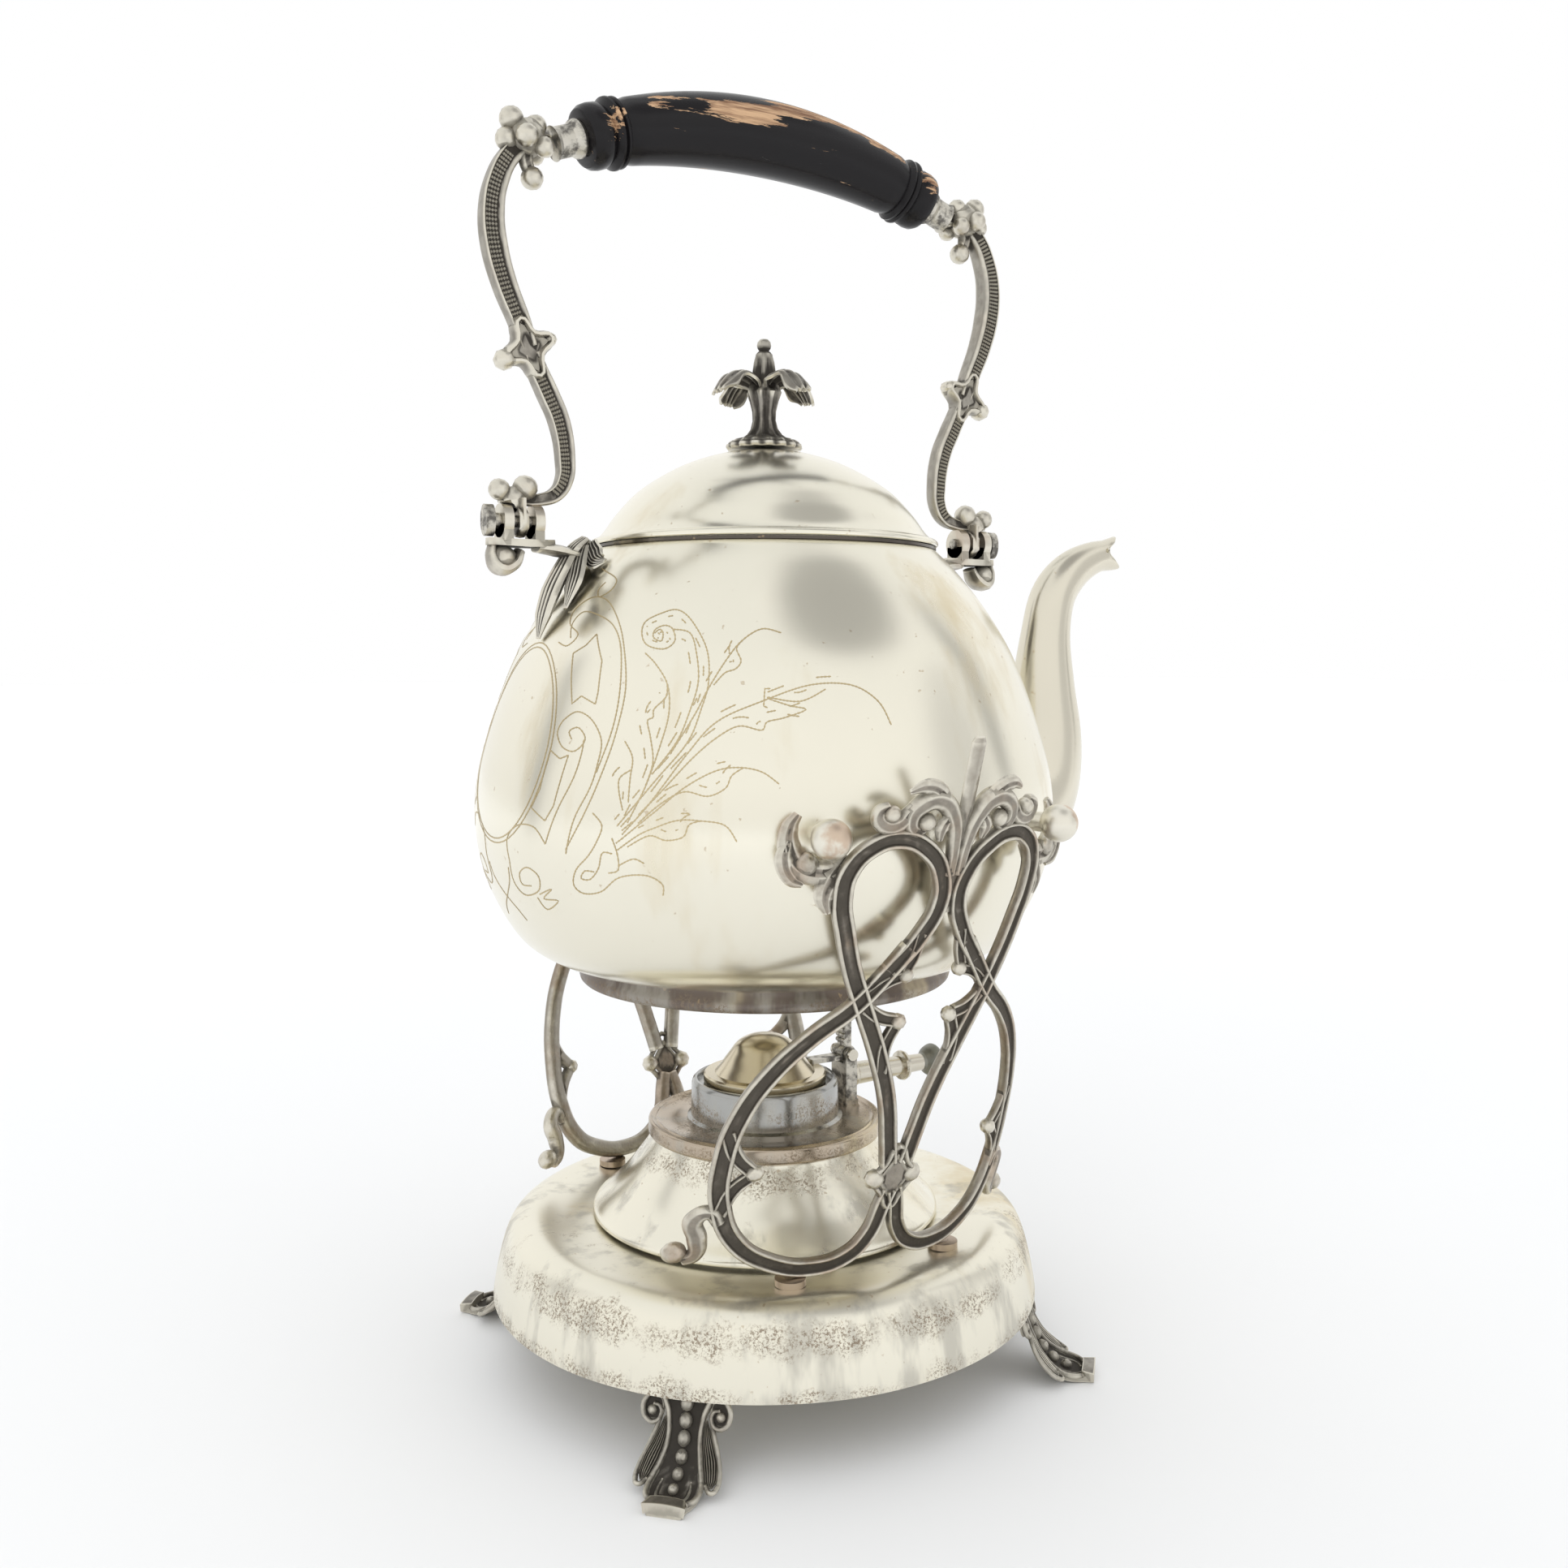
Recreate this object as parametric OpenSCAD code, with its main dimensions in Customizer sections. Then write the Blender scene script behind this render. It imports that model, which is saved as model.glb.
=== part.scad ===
// Spirit kettle on a four-footed stand, in millimetres. The origin lies on the table under
// the kettle's axis, +Z is up and +X points along the spout.

/* [Plinth] */
// Radius of the plinth at its lower edge
plinth_r = 82; // [79:0.5:88]
// Height of the plinth's lower edge above the table
plinth_low = 21; // [18:0.5:26]
// Height of the plinth's flat top above the table
plinth_top = 43.2; // [40:0.2:48]
// Thickness of the spun sheet of the stand
sheet = 1.2; // [0.8:0.1:1.6]
// Radius of the rolled edge under the lamp socket
socket_r = 52; // [49:0.5:54]
// Height of the lamp socket's neck above the table
socket_top = 69.4; // [66:0.2:73]
// Outer radius of the lamp socket's neck
neck_r = 33.2; // [31:0.2:35]

/* [Feet] */
// Distance from the axis to the tip of a foot
toe_reach = 100; // [96:0.5:108]
// Width of a foot across its two scrolls
foot_w = 20; // [16:0.5:24]
// Thickness of the cast foot
foot_t = 3.4; // [2.6:0.1:4.4]

/* [Side frames] */
// Half the width of a frame at its lower lobes
frame_half = 45.5; // [42:0.5:49]
// Width of the cast bars, seen from the front
bar_w = 5; // [4:0.1:6]
// Depth of the cast bars, front to back
bar_t = 3.6; // [3:0.1:4.6]
// Distance from the axis to the foot of a frame at its middle
frame_foot_y = 60; // [57:0.5:63]
// Distance between the kettle's widest ring and the frame beside it
frame_gap = 10; // [9:0.5:14]
// Distance from the middle of a frame to each pad that it stands on
pad_x = 25.3; // [22:0.1:28]
// Radius of the round pad under a frame
pad_r = 4.2; // [3.6:0.1:5]
// Thickness of the pad
pad_h = 1.8; // [1.2:0.1:2.6]
// Radius of the screw that holds a frame
screw_r = 1.5; // [1.2:0.1:2]

/* [Lamp] */
// Radius of the lamp tray over its rolled rim
tray_r = 35.4; // [34.8:0.1:38]
// Height of the tray's rolled rim
tray_rim_h = 4.8; // [4:0.1:6]
// Depth of the spirit reservoir below the tray
reservoir_h = 19.5; // [15:0.5:22]
// Radius of the burner cup
cup_r = 22.2; // [20.5:0.1:23]
// Height of the burner cup above the tray
cup_h = 12.4; // [10:0.2:13.4]
// Radius of the wick tube
wick_tube_r = 6.5; // [5:0.1:7.5]
// Height of the snuffer's dome
snuffer_h = 14.4; // [13:0.2:16]
// Radius of the snuffer's flange
snuffer_r = 18.6; // [17.4:0.1:19.2]
// Distance from the axis to the snuffer's hinge
hinge_x = 29; // [28.4:0.1:29.6]
// Height of the thumb lever above its hinge
lever_h = 15; // [10:0.5:17]
// Length of the lamp's side handle with its knob
lamp_handle_l = 34; // [28:0.5:38]
// Radius of the side handle at the lamp
lamp_handle_r = 3.6; // [3:0.1:4.2]

/* [Kettle body] */
// Greatest radius of the kettle
body_r = 85.2; // [82:0.2:88]
// Height of the greatest ring above the table
belly_z = 165; // [163:0.5:168]
// Thickness of the kettle's wall
wall = 1.2; // [0.8:0.1:1.6]
// Radius of the kettle's foot ring
foot_ring_r = 55.6; // [53:0.2:58]
// Height of the foot ring's lower edge above the table
foot_ring_z = 115.2; // [114.4:0.2:117]
// Height of the foot ring itself
foot_ring_h = 5.8; // [5:0.1:7]
// Radius of the kettle's mouth
mouth_r = 50.4; // [48:0.2:52]
// Height of the kettle's mouth above the table
mouth_z = 241; // [238:0.5:244]
// Distance from the kettle's widest ring to the middle of a trunnion ball
ball_out = 12.5; // [12:0.1:14]
// Sideways distance from the middle of a frame to a trunnion ball
ball_x = 35.3; // [34:0.1:36.5]
// Height of the trunnions above the table
trunnion_z = 166.9; // [165:0.1:168]
// Radius of a trunnion ball
ball_r = 5; // [4.4:0.1:5.2]
// Radius of a trunnion shaft
shaft_r = 2.6; // [2.2:0.1:3]

/* [Spout] */
// Distance from the axis to the tip of the spout
spout_reach = 141; // [138:0.5:146]
// Height of the spout's tip above the table
spout_tip_z = 246; // [242:0.5:250]
// How far the middle of the spout stands out from the kettle's widest ring
spout_bulge = 23.5; // [21:0.5:26]
// Radius of the spout at its root on the body
spout_root_r = 20.5; // [18:0.5:22]
// Radius of the spout at its tip
spout_tip_r = 4.6; // [4:0.1:5.2]
// Height of the spout's root below the kettle's widest ring
spout_root_drop = 8; // [6:0.5:12]
// Thickness of the spout's wall
spout_wall = 1.3; // [1:0.1:1.8]

/* [Lid] */
// Height of the lid's dome above its rim
dome_h = 28.6; // [25:0.2:32]
// How far the lid's rim stands out past the mouth
rim_lip = 0.8; // [0.4:0.1:1.6]
// Height of the finial
finial_h = 32; // [28:0.5:36]
// Distance from the axis to the tips of the finial's leaves
leaf_r = 17.6; // [15:0.2:20]
// Radius of the lid hinge's barrel
barrel_r = 2.3; // [2:0.1:2.6]

/* [Handle] */
// Height of the handle's hinge pins above the table
handle_z = 246.4; // [245:0.2:248]
// Distance from the axis to the middle of a handle hinge
handle_x = 76.5; // [75:0.1:78]
// Radius of the hinge lugs
lug_r = 4.6; // [4:0.1:5]
// Height of the middle of the grip above the hinge pins
grip_rise = 113.6; // [108:0.2:120]
// Half the length of the wooden grip
grip_half = 57.5; // [55:0.5:60]
// Radius of the grip at its middle
grip_r = 10.3; // [9:0.1:12]
// Radius of the grip's turned ends
grip_end_r = 8.6; // [7.6:0.1:9.6]
// Radius of the curve that the grip follows
grip_bend = 168; // [150:1:220]
// Width of a handle arm, seen from the front
arm_w = 6.3; // [5:0.1:7.4]
// Depth of a handle arm, front to back
arm_t = 6.4; // [5:0.1:7.4]

/* [Clearances] */
// Running clearance of a pin in its bore
run = 0.05; // [0.02:0.01:0.1]
// Gap between parts that move past each other
gap = 0.3; // [0.3:0.05:0.5]
// Gap between parts that are soldered or sit together
seat = 0.1; // [0.05:0.01:0.2]

/* [Hidden] */
silver = [0.82, 0.80, 0.72];
old_silver = [0.42, 0.39, 0.34];
black_wood = [0.09, 0.08, 0.08];

// Smooth curve through hand-chosen points, n steps between each two
function spline_point(a, b, c, d, t) =
    0.5 * (2 * b + (c - a) * t + (2 * a - 5 * b + 4 * c - d) * t * t
           + (3 * b - a - 3 * c + d) * t * t * t);
function smooth(P, n) = [
    for (i = [0:len(P) - 2]) for (k = [0:n - 1])
        spline_point(P[max(i - 1, 0)], P[i], P[i + 1], P[min(i + 2, len(P) - 1)], k / n),
    P[len(P) - 1]
];
function unit(v) = v / norm(v);
function pick(a, i) = is_list(a) ? a[i] : a;
function along(P, i) = unit(P[min(i + 1, len(P) - 1)] - P[max(i - 1, 0)]);

// A stretch of curve from p to q, its points given as shares of the way out and up
function stretch(p, q, shares) =
    [for (s = shares) [p[0] + (q[0] - p[0]) * s[0], p[1] + (q[1] - p[1]) * s[1]]];

// Closed outline of a spun wall: the curve P and its copy moved in by the thickness w
function beside(P, i, w) = let (t = along(P, i)) P[i] + w * [-t[1], t[0]];
function spun_wall(P, w) =
    concat(P, [for (i = [len(P) - 1:-1:0]) beside(P, i, w)]);

// Cast bar with six-sided section along P: N faces outwards, W is its width, T its depth
bar_section = [[0.5, 0], [0.3, 0.5], [-0.3, 0.5], [-0.5, 0], [-0.3, -0.5], [0.3, -0.5]];
function bar_ring(P, N, W, T, i) =
    let (t = along(P, i), b = unit(cross(t, N[i])), m = cross(b, t))
    [for (q = bar_section) P[i] + q[0] * pick(W, i) * b + q[1] * pick(T, i) * m];
module bar(P, N, W, T) {
    m = len(P);
    n = len(bar_section);
    polyhedron(
        points = [for (i = [0:m - 1]) each bar_ring(P, N, W, T, i)],
        faces = concat(
            [[for (k = [n - 1:-1:0]) k]],
            [for (i = [0:m - 2]) for (k = [0:n - 1])
                [i * n + k, i * n + (k + 1) % n, (i + 1) * n + (k + 1) % n, (i + 1) * n + k]],
            [[for (k = [0:n - 1]) (m - 1) * n + k]]),
        convexity = 10);
}

// Pipe or solid bar through rings of points: O outside, B its bore or empty
function hoop(c, a, r, n, w = 1) = [for (k = [0:n - 1]) let (t = 360 * k / n)
    c + r * [sin(a) * cos(t), w * sin(t), cos(a) * cos(t)]];
function quads(m, n, first, turned) = [for (i = [0:m - 2]) for (k = [0:n - 1])
    let (a = first + i * n + k, b = first + i * n + (k + 1) % n)
    turned ? [a, a + n, b + n, b] : [a, b, b + n, a + n]];
module pipe(O, B) {
    m = len(O);
    n = len(O[0]);
    k0 = m * n;
    last = (m - 1) * n;
    ends = len(B) == 0
        ? [[for (k = [n - 1:-1:0]) k], [for (k = [0:n - 1]) last + k]]
        : concat(
            [for (k = [0:n - 1]) let (j = (k + 1) % n) [k, k0 + k, k0 + j, j]],
            [for (k = [0:n - 1]) let (j = (k + 1) % n)
                [last + k, last + j, k0 + last + j, k0 + last + k]]);
    polyhedron(
        points = concat([for (r = O) each r], [for (r = B) each r]),
        faces = concat(quads(m, n, 0, false), ends,
            len(B) == 0 ? [] : quads(m, n, k0, true)),
        convexity = 8);
}

// Small rounded pieces of the castings
module bead(p, r) {
    translate(p) sphere(r = r, $fn = 7);
}
module blend(p, rp, q, rq) {
    hull() {
        translate(p) sphere(r = rp, $fn = 5);
        translate(q) sphere(r = rq, $fn = 5);
    }
}
module cusp(p, q, tip, r) {
    hull() {
        translate(p) sphere(r = 1, $fn = 5);
        translate(q) sphere(r = 1, $fn = 5);
        translate(tip) sphere(r = r, $fn = 7);
    }
}
module chain(P, R) {
    for (i = [0:len(P) - 2]) blend(P[i], pick(R, i), P[i + 1], pick(R, i + 1));
}

// Curve of the kettle's outside, from its foot to its mouth
body_low_z = foot_ring_z + foot_ring_h;
body_lower = stretch([foot_ring_r - 0.4, body_low_z], [body_r, belly_z],
    [[0, 0], [0.3, 0.055], [0.585, 0.19], [0.82, 0.45], [0.96, 0.73], [1, 1]]);
body_upper = stretch([body_r, belly_z], [mouth_r, mouth_z],
    [[0.032, 0.155], [0.118, 0.31], [0.232, 0.467], [0.378, 0.625], [0.59, 0.782],
     [0.81, 0.91], [1, 1]]);
body_curve = smooth(concat(body_lower, body_upper), 4);
body_table = [for (p = body_curve) [p[1], p[0]]];
function body_radius(z) = lookup(z, body_table);
module body_solid(grow) {
    P = [for (i = [0:len(body_curve) - 1]) beside(body_curve, i, -grow)];
    rotate_extrude($fn = 120)
        polygon(concat([[0, body_low_z - grow]], P, [[0, mouth_z + grow]]));
}

// Plinth
module plinth() {
    skirt = stretch([plinth_r, plinth_low], [socket_r - 6, plinth_top],
        [[0, 0], [0.006, 0.09], [0.04, 0.4], [0.085, 0.7], [0.14, 0.88], [0.22, 0.985],
         [0.34, 1.035], [0.6, 1.01], [1, 1]]);
    color(silver) difference() {
        rotate_extrude($fn = 120) polygon(spun_wall(smooth(skirt, 4), sheet));
        for (s = [1, -1], t = [1, -1])
            translate([s * pad_x, t * pad_y, 0]) cylinder(r = screw_r + run, h = pad_z + 10);
    }
}

// Socket that carries the lamp
socket_low = plinth_top + 0.7;
module lamp_socket() {
    bell = stretch([socket_r, socket_low], [neck_r, socket_top],
        [[0.3, 0], [0.02, 0.005], [-0.01, 0.045], [0.03, 0.09], [0.2, 0.2], [0.42, 0.36],
         [0.64, 0.56], [0.83, 0.75], [0.95, 0.88], [1, 0.98]]);
    lip = [[neck_r - 0.3, socket_top], [neck_r - 2.6, socket_top + 0.05]];
    color(silver)
        rotate_extrude($fn = 120)
            polygon(spun_wall(smooth(concat(bell, lip), 3), sheet * 0.8));
}

// Feet
foot_drop = plinth_low + 5;
foot_top_r = plinth_r - sheet - foot_t / 2 - 0.6;
foot_run = toe_reach - foot_top_r;
function foot_point(out, up, y = 0) = [foot_top_r + foot_run * out, y, foot_drop * up];
function foot_path() = smooth([for (s = [
        [-0.12, 1.12], [-0.02, 0.9], [0.05, 0.74], [0.13, 0.54], [0.27, 0.31], [0.5, 0.14],
        [0.76, 0.078], [1, 0.064]])
    foot_point(s[0], s[1])], 2);
module foot_casting() {
    P = foot_path();
    m = len(P) - 1;
    N = [for (i = [0:m]) let (t = along(P, i)) [-t[2], 0, t[0]]];
    W = [for (i = [0:m]) foot_w * lookup(i / m,
        [[0, 0.4], [0.13, 0.42], [0.2, 0.8], [0.35, 0.86], [0.55, 0.62], [0.75, 0.5],
         [0.92, 0.58], [1, 0.4]])];
    difference() {
        union() {
            bar(P, N, W, foot_t);
            for (s = [1, -1]) {
                y = s * foot_w * 0.32;
                c = foot_point(0.158, 0.638, y);
                for (k = [0:4])
                    let (a = 90 + s * k * 75, b = a + s * 75, r = 3.6 - 0.5 * k)
                    blend(c + r * [0, cos(a), sin(a)], 1.25,
                          c + (r - 0.5) * [0, cos(b), sin(b)], 1.2);
                side = foot_point(0.232, 0.369, y + s * foot_w * 0.06);
                blend(foot_point(0.158, 0.562, y + s * foot_w * 0.13), 1.5, side, 1.3);
                blend(side, 1.3, foot_point(0.391, 0.196, y - s * foot_w * 0.075), 1);
            }
            for (k = [0:5]) bead(P[4 + k] + N[4 + k] * foot_t * 0.5, 1.5 - 0.08 * k);
        }
        translate([0, 0, -10]) cube([400, 400, 20], center = true);
        rotate_extrude($fn = 90) polygon([
            [plinth_r - sheet - 0.5, plinth_low - 0.2], [plinth_r + 3, plinth_low - 0.2],
            [plinth_r + 3, plinth_low + 9], [plinth_r - sheet - 1.4, plinth_low + 9]]);
    }
}
module foot(turn) {
    color(old_silver) rotate([0, 0, turn]) foot_casting();
}

// Side frames: half of the tracery is drawn once, from its middle to its outer lobe
pad_z = plinth_top + 0.55;
frame_low = pad_z + pad_h + bar_w / 2;
frame_high = trunnion_z - 0.4;
drawn_half = 45.3;
drawn_low = 45;
drawn_high = 166.5;
frame_lean = (body_r + frame_gap - frame_foot_y) / (frame_high - frame_low);
function frame_z(z) =
    frame_low + (z - drawn_low) * (frame_high - frame_low) / (drawn_high - drawn_low);
function frame_y(x, z) =
    frame_foot_y + frame_lean * (z - frame_low) - body_r + sqrt(body_r * body_r - x * x);
function on_frame(q, lift = 0) =
    let (x = q[0] * frame_half / drawn_half, z = frame_z(q[1]))
    [x, -frame_y(x, z) - lift, z];
function frame_normal(p) =
    unit([-p[0] / sqrt(body_r * body_r - p[0] * p[0]), 1, frame_lean]);
pad_y = frame_y(pad_x, frame_low);
upper_loop = [
    [2.2, 69], [3.9, 81], [6.9, 93.6], [11.8, 106.6], [19, 122.4], [23.1, 131.8],
    [26.4, 142], [28.6, 151], [28, 158.5], [24, 164], [17, 166.3], [9, 163], [4, 156.5],
    [2.8, 149], [6.4, 140.4], [13.6, 131]
];
lower_lobe = [
    [9, 137.2], [14.2, 130.2], [21, 122], [30.6, 113.4], [38, 103.8], [43.2, 92],
    [45.4, 79], [44.6, 65.5], [39.6, 54], [31, 47.7], [20, 45], [9.4, 47.6], [3, 53.4],
    [1.4, 62]
];
module frame_bar(drawn, n, w = bar_w, t = bar_t) {
    P = [for (q = smooth(drawn, n)) on_frame(q)];
    N = [for (p = P) frame_normal(p)];
    bar(P, N, w, t);
}
module frame_scroll(drawn, R) {
    chain([for (q = drawn) on_frame([q[0], q[1]])], R);
}

// Place and direction of a trunnion, and of the saddle under it
ball_reach = body_r + ball_out;
ball_y = sqrt(ball_reach * ball_reach - ball_x * ball_x);
trunnion_turn = atan2(ball_y, ball_x);
saddle_l = 3.2;
saddle_reach = ball_reach - ball_r - gap - 0.5 - saddle_l / 2;
saddle_x = saddle_reach * cos(trunnion_turn);
saddle_groove = shaft_r + saddle_l / 2 * cos(trunnion_turn) + 0.25;
module saddle() {
    difference() {
        hull() {
            translate([saddle_reach, 0, trunnion_z - 1.2]) rotate([0, 90, 0])
                cylinder(r = saddle_groove + 2.2, h = saddle_l, center = true, $fn = 20);
            translate([saddle_reach, -2, trunnion_z - 9.5]) rotate([0, 90, 0])
                cylinder(r = 2.4, h = saddle_l, center = true, $fn = 12);
        }
        translate([saddle_reach, 0, trunnion_z])
            rotate([0, 90, 0]) cylinder(r = saddle_groove, h = 3 * saddle_l, center = true, $fn = 20);
        translate([saddle_reach, 0, trunnion_z + 10])
            cube([3 * saddle_l, 2 * saddle_groove, 20], center = true);
        translate([saddle_reach, 0, trunnion_z + 12.2])
            cube([3 * saddle_l, 40, 20], center = true);
    }
}
module frame_half_casting() {
    frame_bar(upper_loop, 2);
    frame_bar(lower_lobe, 2);
    cusp(on_frame([44.2, 84]), on_frame([43.8, 66]), on_frame([38, 75]), 1.6);
    cusp(on_frame([12.4, 109]), on_frame([15.6, 120]), on_frame([8.4, 116]), 1.7);
    cusp(on_frame([7.4, 138]), on_frame([15.6, 126]), on_frame([9.2, 129.6]), 1.6);
    frame_scroll([[44.7, 62], [48.4, 60], [47.4, 51], [50.2, 48.6], [52.6, 50.4]],
        [1.9, 2, 1.7, 1.7, 2]);
    frame_scroll([[1.6, 166], [3, 176], [8.6, 178.6], [13.6, 174.8], [18.6, 171], [21.4, 172.8]],
        [1.5, 1.8, 2.2, 1.9, 1.6, 2]);
    frame_scroll([[12.4, 176], [10.8, 171.6], [8, 172.6]], [1.7, 1.3, 1.6]);
    blend(on_frame([15.5, 172]), 1.4, on_frame([17, 166]), 1.4);
    rotate([0, 0, -trunnion_turn]) saddle();
    blend(on_frame([28.6, 156]), 2, [saddle_x - 1, -saddle_reach * sin(trunnion_turn),
        trunnion_z - 8], 2.2);
    blend(on_frame([28, 148]), 1.6, [saddle_x, -saddle_reach * sin(trunnion_turn),
        trunnion_z - 9.5], 2);
    blend([pad_x, -pad_y, frame_low - 0.6], 2.2, [pad_x, -pad_y, frame_low - bar_w / 2 + 1], 2.6);
}
module frame_casting() {
    difference() {
        union() {
            for (s = [0, 1]) mirror([s, 0, 0]) frame_half_casting();
            hull() {
                for (q = [[0, 78], [0, 61], [6, 69.5], [-6, 69.5]])
                    translate(on_frame(q)) sphere(r = 1.9, $fn = 8);
            }
            frame_scroll([[0, 146], [0, 164], [0, 181], [0, 191]], [2.2, 1.6, 1.9, 1.4]);
        }
        translate([0, 0, pad_z + pad_h - 20]) cube([400, 400, 40], center = true);
    }
}
module frame_near() {
    color(old_silver) frame_casting();
}
module frame_far() {
    color(old_silver) mirror([0, 1, 0]) frame_casting();
}
module frame_pads() {
    color(old_silver) for (s = [1, -1], t = [1, -1])
        translate([s * pad_x, t * pad_y, pad_z]) difference() {
            cylinder(r = pad_r, h = pad_h);
            translate([0, 0, -1]) cylinder(r = screw_r + run, h = pad_h + 2);
        }
}
module frame_screws() {
    color(old_silver) for (s = [1, -1], t = [1, -1])
        translate([s * pad_x, t * pad_y, 0]) {
            translate([0, 0, plinth_top - sheet - 3.4]) cylinder(r = 3.4, h = 2.4);
            translate([0, 0, plinth_top - sheet - 3.4]) cylinder(r = screw_r, h = pad_z + pad_h
                - plinth_top + sheet + 3.4);
        }
}

// Lamp
tray_z = socket_top + gap + 0.1;
tray_floor = tray_z + 1;
module lamp_tray() {
    rim_top = tray_floor + 0.9;
    color(silver) rotate_extrude($fn = 96) polygon(concat(
        [[wick_tube_r + run + 0.1, tray_z], [neck_r + 0.5, tray_z],
         [neck_r + 0.7, rim_top - tray_rim_h]],
        [for (a = [-70:20:90]) [tray_r - 1 + cos(a), rim_top - tray_rim_h + 1 + sin(a) * 1
            + (a > 0 ? tray_rim_h - 2 : 0)]],
        [[tray_r - 2.2, rim_top - 0.1], [tray_r - 3, tray_floor + 0.1], [tray_r - 4, tray_floor],
         [wick_tube_r + run + 0.1, tray_floor]]));
}
reservoir_r = neck_r - 4.2;
module lamp_reservoir() {
    low = tray_z - reservoir_h;
    color(silver) difference() {
        translate([0, 0, low]) cylinder(r = reservoir_r, h = reservoir_h, $fn = 96);
        translate([0, 0, low + sheet]) cylinder(r = reservoir_r - sheet, h = reservoir_h, $fn = 96);
    }
}
cup_top = tray_floor + cup_h;
plate_z = cup_top - 2.6;
module burner_cup() {
    color(silver) rotate_extrude($fn = 96) polygon([
        [cup_r + 1.4, tray_floor], [cup_r + 1.4, tray_floor + 0.8], [cup_r + 0.3, tray_floor + 1.5],
        [cup_r, cup_top - 1.6], [cup_r - 0.3, cup_top - 0.6], [cup_r - 0.9, cup_top],
        [cup_r - 1.6, cup_top - 0.1], [cup_r - 2, cup_top - 0.8], [cup_r - 2.1, plate_z + 1],
        [wick_tube_r + run + 0.1, plate_z + 1], [wick_tube_r + run + 0.1, plate_z],
        [cup_r - 2.2, plate_z], [cup_r - 1.2, plate_z - 1.2], [cup_r - 1.2, tray_floor]]);
}
wick_top = cup_top + 3;
module wick_tube() {
    low = tray_z - reservoir_h + sheet + 2;
    color(silver) difference() {
        translate([0, 0, low]) cylinder(r = wick_tube_r, h = wick_top - low, $fn = 48);
        translate([0, 0, low - 1]) cylinder(r = wick_tube_r - 0.8, h = wick_top, $fn = 48);
    }
}
module wick() {
    low = tray_z - reservoir_h + sheet + 0.5;
    color([0.85, 0.82, 0.74]) rotate_extrude($fn = 48) polygon([[0, low],
        [wick_tube_r - 1, low], [wick_tube_r - 1, wick_top + 0.3], [wick_tube_r - 2, wick_top + 1.4],
        [0, wick_top + 1.8]]);
}
cap_low = plate_z + 1 + gap;
cap_flange = cap_low + 2.9;
pin_z = cap_flange + 1.8;
pin_r = 1.2;
knuckle_r = 2.6;
post_half = 2.3;
module snuffer_post() {
    color(old_silver) difference() {
        union() {
            translate([hinge_x, 0, tray_floor + 0.8]) cube([4.6, 9, 1.6], center = true);
            translate([hinge_x - post_half + 0.3, -3, tray_floor + 1])
                cube([2 * post_half - 0.3, 6, pin_z - knuckle_r - gap - tray_floor - 1]);
            for (s = [1, -1]) translate([hinge_x, s * (post_half + gap + 0.8), 0]) {
                translate([-2, -0.8, tray_floor + 1]) cube([4, 1.6, pin_z - tray_floor - 1]);
                translate([0, 0, pin_z]) rotate([90, 0, 0]) cylinder(r = 2, h = 1.6, center = true);
            }
        }
        translate([hinge_x, 0, pin_z]) rotate([90, 0, 0])
            cylinder(r = pin_r + run, h = 20, center = true, $fn = 32);
    }
}
module snuffer_pin() {
    half = post_half + gap + 1.6;
    color(silver) translate([hinge_x, 0, pin_z]) rotate([90, 0, 0]) {
        cylinder(r = pin_r, h = 2 * half + 0.4, center = true, $fn = 32);
        for (s = [1, -1]) translate([0, 0, s * (half + 0.6)])
            cylinder(r = pin_r + 0.6, h = 0.8, center = true, $fn = 32);
    }
}
module snuffer_cap() {
    outer = smooth(stretch([snuffer_r - 3.4, cap_flange], [0, cap_low + snuffer_h],
        [[0, 0], [0.12, 0.2], [0.28, 0.5], [0.45, 0.78], [0.65, 0.93], [0.85, 0.99],
         [0.999, 1]]), 3);
    color(silver) rotate_extrude($fn = 96) polygon(concat(
        [[snuffer_r - 1, cap_low], [snuffer_r, cap_low + 0.4], [snuffer_r, cap_flange - 0.5],
         [snuffer_r - 0.5, cap_flange]],
        outer,
        [[0, cap_low + snuffer_h - 1]],
        [for (i = [len(outer) - 2:-1:0]) beside(outer, i, 0.9)],
        [[snuffer_r - 1, cap_flange - 0.9]]));
}
module snuffer_lever() {
    color(old_silver) difference() {
        union() {
            translate([hinge_x, 0, pin_z]) rotate([90, 0, 0])
                cylinder(r = knuckle_r, h = 2 * post_half, center = true);
            translate([snuffer_r - 2.8, -post_half, cap_flange])
                cube([hinge_x - snuffer_r + 2.8, 2 * post_half, 1.4]);
            translate([hinge_x - 1.1, -post_half, pin_z]) cube([2.2, 2 * post_half, lever_h]);
            translate([hinge_x, 0, pin_z + lever_h]) rotate([90, 0, 0])
                cylinder(r = 1.7, h = 2 * post_half, center = true);
            for (k = [0:4]) translate([hinge_x - 1.1, 0, pin_z + 4 + 1.7 * k])
                rotate([90, 0, 0]) cylinder(r = 0.7, h = 2 * post_half, center = true);
        }
        translate([hinge_x, 0, pin_z]) rotate([90, 0, 0])
            cylinder(r = pin_r + run, h = 20, center = true, $fn = 32);
    }
}
handle_root = hinge_x + post_half;
lamp_handle_z = tray_floor + 8.4;
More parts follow.
